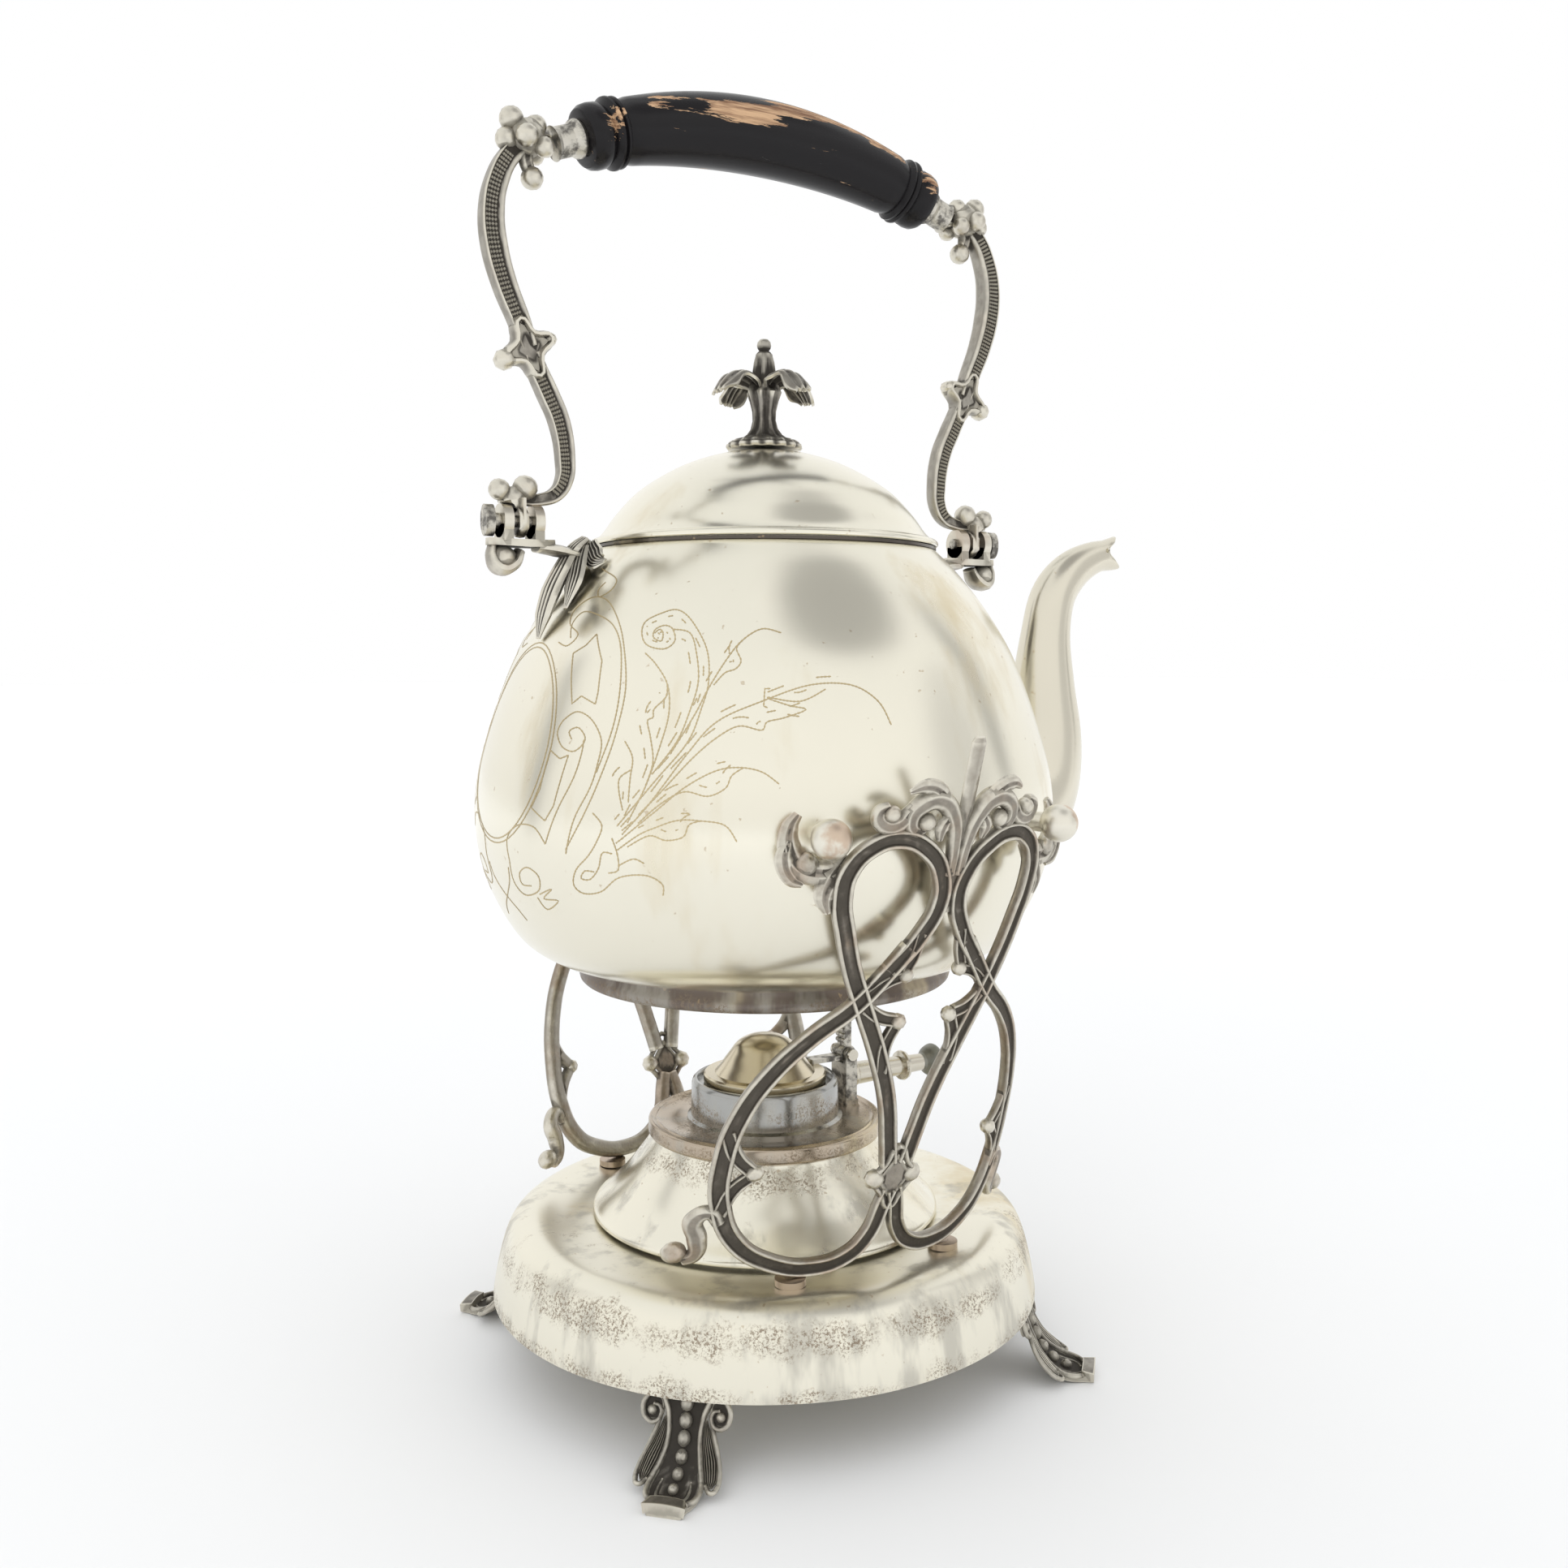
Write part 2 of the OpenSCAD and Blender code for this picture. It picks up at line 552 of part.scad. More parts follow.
module lamp_handle() {
    l = lamp_handle_l;
    color(silver) translate([handle_root, 0, lamp_handle_z]) rotate([0, 90, 0])
        rotate_extrude($fn = 48) polygon([[0, 0], [lamp_handle_r + 0.4, 0],
            [lamp_handle_r + 0.4, 1], [lamp_handle_r, 1.6], [lamp_handle_r - 0.5, l * 0.55],
            [lamp_handle_r + 0.9, l * 0.56], [lamp_handle_r + 1.2, l * 0.58],
            [lamp_handle_r + 0.9, l * 0.61], [lamp_handle_r - 0.7, l * 0.62],
            [lamp_handle_r - 0.9, l * 0.8], [0, l * 0.8]]);
}
module lamp_knob() {
    l = lamp_handle_l;
    color(old_silver) translate([handle_root + l * 0.8, 0, lamp_handle_z]) rotate([0, 90, 0])
        rotate_extrude($fn = 48) polygon(concat([[0, 0], [lamp_handle_r - 0.9, 0]],
            smooth([[lamp_handle_r - 0.7, l * 0.03], [lamp_handle_r + 0.8, l * 0.07],
                [5.2, l * 0.12], [5.3, l * 0.155], [4.2, l * 0.19], [1.6, l * 0.2]], 3),
            [[0, l * 0.2]]));
}

// Kettle
module kettle_body() {
    color(silver) difference() {
        rotate_extrude($fn = 120) polygon(concat(
            [[0, body_low_z]], body_curve,
            [for (i = [len(body_curve) - 1:-1:1]) beside(body_curve, i, wall)],
            [[foot_ring_r - 2, body_low_z + wall], [0, body_low_z + wall]]));
        for (a = trunnion_angles)
            rotate([0, 0, a]) translate([body_r - 8, 0, trunnion_z]) rotate([0, 90, 0])
                cylinder(r = shaft_r + run, h = 20, $fn = 48);
        translate([body_r - 20, 0, spout_root_z]) rotate([0, 90, 0])
            cylinder(r = spout_root_r * 0.415, h = 40, $fn = 48);
    }
}
module kettle_collar() {
    color(silver) rotate_extrude($fn = 120) polygon([
        [mouth_r - 3.4, mouth_z - 7], [mouth_r - 2.2, mouth_z - 7], [mouth_r - 2.2, mouth_z + seat],
        [mouth_r + 0.2, mouth_z + seat], [mouth_r + 0.2, mouth_z + 0.9],
        [mouth_r - 3.4, mouth_z + 0.9]]);
}
module kettle_foot_ring() {
    z = foot_ring_z;
    r = foot_ring_r;
    top = body_low_z - seat;
    color(old_silver) rotate_extrude($fn = 120) polygon([
        [r - 5, z + 0.6], [r - 4.6, z], [r - 0.9, z], [r - 0.2, z + 0.7], [r, z + 1.7],
        [r - 0.3, z + 3], [r - 1.2, z + 4], [r - 1.2, top], [r - 3, top], [r - 4, z + 3]]);
}
trunnion_angles = [for (s = [1, -1], t = [1, -1]) atan2(t * ball_y, s * ball_x)];
module trunnion(s, t) {
    inside = body_r - wall - 3;
    color(silver) rotate([0, 0, atan2(t * ball_y, s * ball_x)])
        translate([0, 0, trunnion_z]) rotate([0, 90, 0]) {
            translate([0, 0, inside]) cylinder(r = shaft_r, h = ball_reach - inside, $fn = 48);
            translate([0, 0, ball_reach]) sphere(r = ball_r, $fn = 48);
        }
}

// Spout: middle line in the plane of the axis, with its radius at each point
spout_root_z = belly_z - spout_root_drop;
spout_sides = 16;
spout_rise = spout_tip_z - spout_root_z;
spout_neck = [for (s = [[-0.383, 0, 1], [0.255, 0.011, 0.906], [0.672, 0.067, 0.811],
        [0.906, 0.157, 0.686], [1, 0.303, 0.579], [0.991, 0.483, 0.428], [1.021, 0.674, 0.27]])
    [body_r + spout_bulge * s[0], spout_root_z + spout_rise * s[1],
     spout_tip_r + (spout_root_r - spout_tip_r) * s[2]]];
spout_bow = [for (s = [[0.105, 0.82, 0.214], [0.329, 0.916, 0.151], [0.649, 0.975, 0.063],
        [1, 1, 0]])
    [body_r + spout_bulge + (spout_reach - 1 - body_r - spout_bulge) * s[0],
     spout_root_z + spout_rise * s[1], spout_tip_r + (spout_root_r - spout_tip_r) * s[2]]];
spout_line = smooth(concat(spout_neck, spout_bow), 2);
function spout_ring(i, cut) =
    let (p = spout_line[i], t = along([for (q = spout_line) [q[0], q[1]]], i))
    hoop([p[0], 0, p[1]], -atan2(t[1], t[0]), p[2] - cut, spout_sides, 0.84);
function on_body(q) = let (r = body_radius(q[2]) + seat) [sqrt(r * r - q[1] * q[1]), q[1], q[2]];
function spout_rings(cut) = [for (i = [0:len(spout_line) - 1])
    i == 0 ? [for (q = spout_ring(i, cut)) on_body(q)] : spout_ring(i, cut)];
module spout() {
    color(silver) difference() {
        pipe(spout_rings(0), spout_rings(spout_wall));
        translate([spout_reach + 2, 0, spout_tip_z + 0.4]) rotate([90, 0, 0])
            linear_extrude(height = 40, center = true)
                polygon([[-11, 1], [4, 4], [4, -3.4]]);
    }
}

// Hinge of the handle
ear_t = 2.8;
ear_x = ear_t + gap + 1.3;
plate_drop = lug_r + gap;
bracket_plate = handle_z - plate_drop;
module handle_bracket(s) {
    foot_z = [for (k = [0:5]) bracket_plate - 4.5 - 3.8 * k];
    leg = [for (z = foot_z) let (d = 1.5) [body_radius(z) + d * 0.75 + 0.3, 0, z + d * 0.66]];
    color(old_silver) mirror([s, 0, 0]) difference() {
        union() {
            for (e = [1, -1]) hull() {
                translate([handle_x + e * ear_x, 0, handle_z]) rotate([0, 90, 0])
                    cylinder(r = lug_r, h = ear_t, center = true, $fn = 32);
                translate([handle_x + e * ear_x, 0, bracket_plate - 0.8])
                    cube([ear_t, 8, 1.6], center = true);
            }
            hull() {
                translate([handle_x + 7, 0, bracket_plate - 1.2])
                    scale([1, 1.2, 1]) cylinder(r = 2.6, h = 1.2, $fn = 24);
                translate([handle_x - 8, 0, bracket_plate - 1.2])
                    cylinder(r = 3.4, h = 1.2, $fn = 24);
            }
            chain([[handle_x + 7, 0, bracket_plate - 2], [handle_x + 5.5, 0, bracket_plate - 5.2],
                [handle_x + 2.5, 0, bracket_plate - 5]], [1.6, 3, 1.8]);
            chain([[handle_x + 2, 0, bracket_plate - 2.4], [handle_x - 6, 0, bracket_plate - 3.4],
                leg[1] + [1, 0, 0.5]], [1.8, 2, 2]);
            bar(leg, [for (p = leg) [0.75, 0, 0.66]], [3, 5, 6.5, 7.5, 6, 3], 2.4);
            for (e = [1, -1])
                chain([leg[1], leg[2] + [0.2, e * 3, 0], leg[4] + [-0.2, e * 4, 0]], [1.3, 1.3, 1]);
        }
        translate([handle_x, 0, handle_z]) rotate([0, 90, 0])
            cylinder(r = handle_pin_r + run, h = 60, center = true, $fn = 32);
        body_solid(seat);
    }
}
handle_pin_r = 1.6;
module handle_pin(s) {
    color(silver) mirror([s, 0, 0]) {
        translate([handle_x - ear_x - ear_t / 2 - 1, 0, handle_z]) rotate([0, 90, 0])
            cylinder(r = handle_pin_r, h = 2 * ear_x + ear_t + 3, $fn = 32);
        translate([handle_x + ear_x + ear_t / 2 + 0.3, 0, handle_z]) rotate([0, 90, 0])
            cylinder(r = 2.1, h = 2, $fn = 32);
        translate([handle_x + ear_x + ear_t / 2 + 3, 0, handle_z]) rotate([90, 0, 90])
            scale([0.8, 1.25, 1]) cylinder(r = 3.4, h = 2.4, center = true, $fn = 32);
    }
}

// Handle arms: middle line from the hinge plate to the grip's end
grip_z = handle_z + grip_rise;
grip_tilt = asin(grip_half / grip_bend);
grip_end_z = grip_z - grip_bend * (1 - cos(grip_tilt));
ferrule_l = 8.5;
ferrule_end = [grip_half + ferrule_l * cos(grip_tilt), 0, grip_end_z - ferrule_l * sin(grip_tilt)];
arm_plate = handle_z + plate_drop;
function arm_point(q) = [handle_x + q[0], 0, arm_plate + (grip_end_z - arm_plate) * q[1]];
arm_line = smooth(concat([for (q = [
    [-6, 0.012], [-10.5, 0.03], [-13, 0.07], [-13.4, 0.124], [-11.8, 0.226], [-7.4, 0.327],
    [-3.6, 0.415], [-0.8, 0.49], [3.4, 0.578], [6.1, 0.675], [6.7, 0.765], [5, 0.848],
    [1.2, 0.92], [-4.4, 0.965]]) arm_point(q)], [ferrule_end + [0.6, 0, -0.2]]), 2);
module handle_arm(s) {
    m = len(arm_line) - 1;
    W = [for (i = [0:m]) arm_w * lookup(i / m,
        [[0, 0.55], [0.1, 0.62], [0.3, 0.95], [0.42, 1], [0.46, 0.8], [0.5, 0.8], [0.6, 1.05],
         [0.8, 1.1], [0.92, 0.95], [1, 0.8]])];
    boss = arm_point([-3.6, 0.415]);
    top = arm_point([-4.4, 0.975]);
    color(old_silver) mirror([s, 0, 0]) difference() {
        union() {
            hull() {
                translate([handle_x + 7, 0, arm_plate]) scale([1, 1.15, 1])
                    cylinder(r = 2.6, h = 1.8, $fn = 24);
                translate([handle_x - 8, 0, arm_plate]) cylinder(r = 3.2, h = 1.8, $fn = 24);
            }
            hull() {
                translate([handle_x, 0, handle_z]) rotate([0, 90, 0])
                    cylinder(r = lug_r, h = 2.6, center = true, $fn = 32);
                translate([handle_x, 0, arm_plate + 0.5]) cube([2.6, 7, 1], center = true);
            }
            bead([handle_x + 5.6, 0, arm_plate + 3.4], 2.8);
            bead([handle_x - 2.4, 0, arm_plate + 4.2], 3.2);
            bar(arm_line, [for (p = arm_line) [0, 1, 0]], W, arm_t);
            blend(boss + [-3.4, 0, 3], 2, boss + [-4.2, 0, -1], 1.8);
            blend(boss + [1, 0, 5], 2, boss + [4.6, 0, 1.2], 1.6);
            blend(boss + [4.6, 0, 1.2], 1.6, boss + [1, 0, -6], 2);
            blend(boss + [3, 0, -2], 2.2, boss + [7.4, 0, -4.6], 2.2);
            blend(boss + [-1, 2, 0], 1.6, boss + [2, 2, -1], 1.6);
            blend(boss + [-1, -2, 0], 1.6, boss + [2, -2, -1], 1.6);
            for (a = [0:60:300]) blend(top, 3, top + 4.6 * [0.3 * cos(a) + 0.2, sin(a), cos(a)],
                2.3);
            blend(top, 3, top + [6.6, 0, 1.5], 2.9);
            blend(top + [2, 0, -6], 2, top + [0.6, 0, -13], 2.9);
        }
        translate([handle_x, 0, handle_z]) rotate([0, 90, 0])
            cylinder(r = handle_pin_r + run, h = 20, center = true, $fn = 32);
        ferrule_space();
    }
}
module at_grip_end() {
    translate([grip_half, 0, grip_end_z]) rotate([0, 90 + grip_tilt, 0]) children();
}
module ferrule_space() {
    at_grip_end() cylinder(r = 5.2 + seat, h = ferrule_l + seat, $fn = 40);
}
module handle_ferrule(s) {
    color(silver) mirror([s, 0, 0]) at_grip_end() difference() {
        rotate_extrude($fn = 40) polygon([[0, seat], [4.8, seat], [5.2, 1], [5.1, 2],
            [4.2, 3.4], [4.2, ferrule_l - 1], [4.6, ferrule_l], [0, ferrule_l]]);
        translate([0, 0, -1]) cylinder(r = rod_r + seat, h = ferrule_l - 1, $fn = 24);
    }
}

// Wooden grip, a turned and bent bar with a rod through it
rod_r = 2.2;
function grip_at(u) = let (a = asin(u * grip_half / grip_bend))
    [grip_bend * sin(a), 0, grip_z - grip_bend * (1 - cos(a))];
grip_stations = concat(
    [[-1, 0.78], [-0.985, 0.95], [-0.95, 1], [-0.905, 0.98], [-0.89, 0.86], [-0.875, 1.08],
     [-0.855, 1.12], [-0.84, 1.02], [-0.832, 0.92]],
    [for (u = [-0.8:0.16:0.801]) [u, 1 + (grip_r / grip_end_r - 1) * cos(u * 100)]],
    [[0.832, 0.92], [0.84, 1.02], [0.855, 1.12], [0.875, 1.08], [0.89, 0.86], [0.905, 0.98],
     [0.95, 1], [0.985, 0.95], [1, 0.78]]);
module handle_pipe(S, bore, n) {
    C = [for (s = S) grip_at(s[0])];
    A = [for (s = S) asin(s[0] * grip_half / grip_bend)];
    pipe([for (i = [0:len(S) - 1]) hoop(C[i], A[i], S[i][1], n)],
        bore > 0 ? [for (i = [0:len(S) - 1]) hoop(C[i], A[i], bore, n)] : []);
}
module handle_grip() {
    color(black_wood)
        handle_pipe([for (s = grip_stations) [s[0], s[1] * grip_end_r]], rod_r + seat, 12);
}
module handle_rod() {
    color(old_silver) handle_pipe([for (u = [-1.06:0.212:1.061]) [u, rod_r]], 0, 12);
}

// Lid and its hinge
lid_z = mouth_z + 0.9 + gap;
rim_r = mouth_r + rim_lip;
lid_top = lid_z + dome_h;
module lid_dome() {
    dome = smooth(stretch([rim_r - 2, lid_z + 2.1], [0, lid_top],
        [[0, 0], [0.04, 0.08], [0.12, 0.28], [0.26, 0.54], [0.5, 0.8], [0.75, 0.95],
         [0.96, 1]]), 4);
    color(silver) rotate_extrude($fn = 120) polygon(concat(
        [[mouth_r - 5, mouth_z - 4], [mouth_r - 4, mouth_z - 4], [mouth_r - 4, lid_z],
         [rim_r - 0.5, lid_z], [rim_r, lid_z + 0.6], [rim_r, lid_z + 1.2],
         [rim_r - 0.6, lid_z + 1.8], [rim_r - 1.5, lid_z + 1.9]],
        dome, [[2.1, lid_top], [2.1, lid_top - wall]],
        [for (i = [len(dome) - 2:-1:3]) beside(dome, i, wall)],
        [[mouth_r - 5, lid_z + 1.6]]));
}
barrel_y = mouth_r + 4.3;
barrel_z = mouth_z + 1.9;
leaf_half = 8;
module barrel(x0, x1) {
    translate([x0, barrel_y, barrel_z]) rotate([0, 90, 0])
        cylinder(r = barrel_r, h = x1 - x0, $fn = 32);
}
module barrel_bore() {
    translate([-20, barrel_y, barrel_z]) rotate([0, 90, 0])
        cylinder(r = 0.9 + run, h = 40, $fn = 32);
}
module lid_hinge_leaf() {
    color(silver) difference() {
        union() {
            barrel(-leaf_half, -2.6);
            barrel(2.6, leaf_half);
            for (s = [0, 1]) mirror([s, 0, 0])
                translate([2.6, 0, 0]) rotate([90, 0, 90]) linear_extrude(height = leaf_half - 2.6)
                    polygon([[barrel_y - 0.8, barrel_z - 1], [barrel_y - 3, barrel_z - 7],
                        [barrel_y + 2, barrel_z - 9], [barrel_y + 2.1, barrel_z - 0.5]]);
        }
        barrel_bore();
        body_solid(seat);
    }
}
module lid_hinge_pin() {
    color(silver) translate([-leaf_half - 1, barrel_y, barrel_z]) rotate([0, 90, 0])
        cylinder(r = 0.9, h = 2 * leaf_half + 2, $fn = 32);
}
module lid_knuckle() {
    color(silver) difference() {
        union() {
            barrel(-2.3, 2.3);
            translate([-2.3, rim_r - 3, lid_z + 2]) cube([4.6, barrel_y - rim_r + 3, 1.1]);
        }
        barrel_bore();
        rotate_extrude($fn = 120) polygon([[0, 0], [rim_r + seat, 0], [rim_r + seat, lid_z + 1.9],
            [rim_r - 1.4, lid_z + 2], [rim_r - 1.9, lid_z + 2.4], [rim_r - 3.4, lid_z + 6], [0, lid_z + 6]]);
    }
}

// Finial with its drooping leaves
module finial() {
    z = lid_top + seat;
    h = finial_h;
    color(old_silver) union() {
        rotate_extrude($fn = 20) polygon(concat([[0, -5 + z], [2, -5 + z], [2, z]],
            [for (q = [[9.6, 0], [10.2, 1], [9.4, 2.2], [6.4, 3.1], [4.6, 4.4], [3.7, 6.4],
                [3.6, 8.6], [4.2, 11], [5.2, 13.6], [4.4, 17], [3.6, h * 0.66], [3.3, h * 0.8],
                [2, h * 0.87], [1.3, h * 0.895]]) [q[0], z + q[1]]],
            [for (a = [-45:45:45]) [1.9 * cos(a), z + h - 1.9 + 1.9 * sin(a)]], [[0, z + h]]));
        for (a = [0:45:315]) rotate([0, 0, a])
            blend([9.2, 0, z + 1.3], 1.2, [7, 0, z + 3], 0.9);
        for (a = [10:90:350]) rotate([0, 0, a]) {
            for (e = [1, -1]) chain([
                [3, e * 1.4, z + h * 0.6], [leaf_r * 0.6, e * 3.4, z + h * 0.57],
                [leaf_r * 0.86, e * 2, z + h * 0.44]], [1.8, 1.3, 1.1]);
            chain([[3, 0, z + h * 0.6], [leaf_r * 0.62, 0, z + h * 0.6],
                [leaf_r - 1, 0, z + h * 0.38]], [1.8, 1.7, 1]);
        }
    }
}
module finial_nut() {
    color(silver) translate([0, 0, lid_top - wall - 2.6]) difference() {
        cylinder(r = 4, h = 2.2, $fn = 6);
        translate([0, 0, -1]) cylinder(r = 2.1, h = 5, $fn = 32);
    }
}

plinth();
lamp_socket();
foot(-45);  // foot_front_near
foot(45);  // foot_front_far
foot(-135);  // foot_rear_near
foot(135);  // foot_rear_far
frame_near();
frame_far();
frame_pads();
frame_screws();
lamp_reservoir();
lamp_tray();
burner_cup();
wick_tube();
wick();
snuffer_post();
lamp_handle();
lamp_knob();
snuffer_pin();
snuffer_cap();
snuffer_lever();
kettle_body();
kettle_collar();
kettle_foot_ring();
spout();
trunnion(1, -1);  // trunnion_front_near
trunnion(1, 1);  // trunnion_front_far
trunnion(-1, -1);  // trunnion_rear_near
trunnion(-1, 1);  // trunnion_rear_far
handle_bracket(0);  // handle_bracket_front
handle_bracket(1);  // handle_bracket_rear
handle_pin(0);  // handle_pin_front
handle_pin(1);  // handle_pin_rear
lid_hinge_leaf();
lid_hinge_pin();
handle_arm(0);  // handle_arm_front
handle_arm(1);  // handle_arm_rear
handle_ferrule(0);  // handle_ferrule_front
handle_ferrule(1);  // handle_ferrule_rear
handle_grip();
handle_rod();
lid_dome();
lid_knuckle();
finial();
finial_nut();
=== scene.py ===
"""Silver spirit kettle with a bail handle, on its footed openwork stand over a spirit lamp."""
import math

import bpy
from mathutils import Matrix, Vector, noise
from mathutils.bvhtree import BVHTree


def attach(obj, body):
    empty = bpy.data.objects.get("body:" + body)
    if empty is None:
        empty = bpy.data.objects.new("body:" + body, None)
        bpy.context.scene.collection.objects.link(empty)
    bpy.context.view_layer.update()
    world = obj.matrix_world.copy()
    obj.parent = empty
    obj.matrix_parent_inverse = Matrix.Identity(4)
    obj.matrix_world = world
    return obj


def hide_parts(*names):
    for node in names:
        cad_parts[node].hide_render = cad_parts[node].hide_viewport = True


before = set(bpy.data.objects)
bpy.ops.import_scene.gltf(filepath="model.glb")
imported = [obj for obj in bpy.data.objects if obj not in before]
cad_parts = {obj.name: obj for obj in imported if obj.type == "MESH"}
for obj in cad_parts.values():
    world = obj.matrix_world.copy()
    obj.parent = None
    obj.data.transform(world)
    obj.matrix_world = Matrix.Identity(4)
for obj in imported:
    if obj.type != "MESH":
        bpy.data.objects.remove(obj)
bpy.ops.object.select_all(action="DESELECT")
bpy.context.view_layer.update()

# Camera: a little above the middle of the kettle, seen from the side of the tail and the near
# frame. The object stands on the floor under the origin.
MM = 0.001
CAMERA_PLACE = Vector((-226.4, -384.8, 208.5)) * MM
CAMERA_TURN = (math.radians(85.36), 0, math.radians(-31.22))
bpy.ops.object.camera_add(location=CAMERA_PLACE, rotation=CAMERA_TURN)
camera = bpy.context.active_object
camera.data.lens = 34.3
camera.data.sensor_width = 36
camera.data.clip_start = 0.01
bpy.context.scene.camera = camera

# Daylight studio: a pale floor under a white sky, with three large soft lamps. The metal sees an
# even white sky and a few grey cards, which give it its soft patches and streaks.
scene = bpy.context.scene
scene.view_settings.view_transform = "Standard"
FLOOR_WHITE, FAR_WHITE = (0.82, 0.82, 0.82), (0.96, 0.96, 0.96)
# Name, place, size in metres and power in watts.
LAMPS = [
    ("key_lamp", (-1.3, -0.9, 1.5), 1.3, 5.0),
    ("fill_lamp", (1.0, -1.6, 1.0), 1.4, 1.8),
    ("back_lamp", (0.4, 1.6, 1.6), 1.6, 2.2),
]


def aim(thing, target=(0, 0, 0.18)):
    """Turns a lamp or a card to face a point of the object."""
    way = Vector(target) - thing.location
    thing.rotation_euler = way.to_track_quat("-Z", "Y").to_euler()


for lamp_name, place, size, power in LAMPS:
    bpy.ops.object.light_add(type="AREA", location=place)
    lamp = bpy.context.active_object
    lamp.name = lamp_name
    lamp.data.size = size
    lamp.data.energy = power
    lamp.visible_glossy = False
    aim(lamp)


class Value:
    """A number in a material's nodes, which adds, multiplies and so on as a number does."""

    def __init__(self, finish, socket):
        self.finish, self.socket = finish, socket

    def maths(self, operation, other, turned=False):
        a, b = (other, self) if turned else (self, other)
        return self.finish.node("ShaderNodeMath", {"operation": operation}, {0: a, 1: b})

    def __add__(self, other):
        return self.maths("ADD", other)

    def __sub__(self, other):
        return self.maths("SUBTRACT", other)

    def __rsub__(self, other):
        return self.maths("SUBTRACT", other, True)

    def __mul__(self, other):
        return self.maths("MULTIPLY", other)

    __radd__, __rmul__ = __add__, __mul__


class Finish:
    """A material of one Principled shader and the nodes that vary it over the surface."""

    def __init__(self, name, metallic=0.0, **plain):
        self.material = bpy.data.materials.new(name)
        self.material.use_nodes = True
        self.tree = self.material.node_tree
        self.shader = self.tree.nodes["Principled BSDF"]
        self.shader.inputs["Metallic"].default_value = metallic
        for socket, value in plain.items():
            self.shader.inputs[socket.replace("_", " ")].default_value = value
        self.place = self.node("ShaderNodeTexCoord", output="Object")

    def link(self, socket, value):
        """Links a node's value to a socket, or sets the socket to a number or a colour."""
        if isinstance(value, Value):
            self.tree.links.new(value.socket, socket)
        elif isinstance(value, tuple) and len(value) == 3 and len(socket.default_value) == 4:
            socket.default_value = (*value, 1)
        else:
            socket.default_value = value

    def node(self, kind, settings=None, sockets=None, output=0):
        """Adds a node with its settings and sockets, and returns one of its outputs."""
        node = self.tree.nodes.new(kind)
        for key, value in (settings or {}).items():
            setattr(node, key, value)
        for key, value in (sockets or {}).items():
            self.link(node.inputs[key], value)
        return Value(self, node.outputs[output])

    def stretched(self, x, y, z):
        """The place on the piece, multiplied along each axis; a small factor draws out streaks."""
        return self.node("ShaderNodeMapping", sockets={"Vector": self.place, "Scale": (x, y, z)})

    def noise(self, scale, detail=3.0, roughness=0.55, place=None):
        return self.node("ShaderNodeTexNoise", sockets={
            "Vector": place or self.place, "Scale": scale, "Detail": detail,
            "Roughness": roughness})

    def cells(self, scale, place=None):
        return self.node("ShaderNodeTexVoronoi", sockets={
            "Vector": place or self.place, "Scale": scale}, output="Distance")

    def rise(self, value, low, high):
        """0 below low, 1 above high and smooth between; low above high turns it round."""
        return self.node("ShaderNodeMapRange", {"interpolation_type": "SMOOTHSTEP"}, {
            "Value": value, "From Min": low, "From Max": high})

    def blend(self, mask, colour, other):
        """The first colour where the mask is 0, and the other where it is 1."""
        return self.node("ShaderNodeMix", {"data_type": "RGBA"}, {0: mask, 6: colour, 7: other},
                         output=2)

    def distance(self):
        """Distance from the piece's origin."""
        return self.node("ShaderNodeVectorMath", {"operation": "LENGTH"}, {0: self.place},
                         output="Value")

    def attribute(self, name):
        """A number that is stored at the points of the mesh."""
        return self.node("ShaderNodeAttribute", {"attribute_name": name}, output="Fac")

    def height(self):
        """Height above the table, in metres."""
        return self.node("ShaderNodeSeparateXYZ", sockets={0: self.place}, output="Z")

    def bump(self, height, distance, strength=1.0):
        normal = self.node("ShaderNodeBump", sockets={
            "Height": height, "Distance": distance, "Strength": strength})
        self.link(self.shader.inputs["Normal"], normal)

    def paint(self, colour, roughness):
        self.link(self.shader.inputs["Base Color"], colour)
        self.link(self.shader.inputs["Roughness"], roughness)


def wear(piece, finish):
    """Gives a piece one finish in place of all it has."""
    piece.data.materials.clear()
    piece.data.materials.append(finish.material)


world = bpy.data.worlds.new("white_studio")
world.use_nodes = True
scene.world = world
sky = world.node_tree
sky.nodes.clear()
ray = sky.nodes.new("ShaderNodeLightPath")


def background(colour, strength=1.0):
    """A plain sky of one colour."""
    plain = sky.nodes.new("ShaderNodeBackground")
    plain.inputs["Color"].default_value = (*colour, 1)
    plain.inputs["Strength"].default_value = strength
    return plain


def sky_for(ray_kind, others, chosen):
    """The chosen sky for rays of one kind, and another sky for the others."""
    mix = sky.nodes.new("ShaderNodeMixShader")
    sky.links.new(ray.outputs[ray_kind], mix.inputs[0])
    sky.links.new(others.outputs[0], mix.inputs[1])
    sky.links.new(chosen.outputs[0], mix.inputs[2])
    return mix


direction = sky.nodes.new("ShaderNodeTexCoord")
split = sky.nodes.new("ShaderNodeSeparateXYZ")
sky.links.new(direction.outputs["Generated"], split.inputs[0])
ramp = sky.nodes.new("ShaderNodeValToRGB")
ramp.color_ramp.interpolation = "EASE"
ramp.color_ramp.elements[0].position = 0.0
ramp.color_ramp.elements[0].color = (0.98, 0.98, 0.97, 1)
ramp.color_ramp.elements[1].position = 1.0
ramp.color_ramp.elements[1].color = (0.96, 0.97, 0.97, 1)
ramp.color_ramp.elements.new(0.35).color = (1.04, 1.04, 1.03, 1)
sky.links.new(split.outputs["Z"], ramp.inputs[0])
metal_sky = background((1, 1, 1))
sky.links.new(ramp.outputs[0], metal_sky.inputs["Color"])
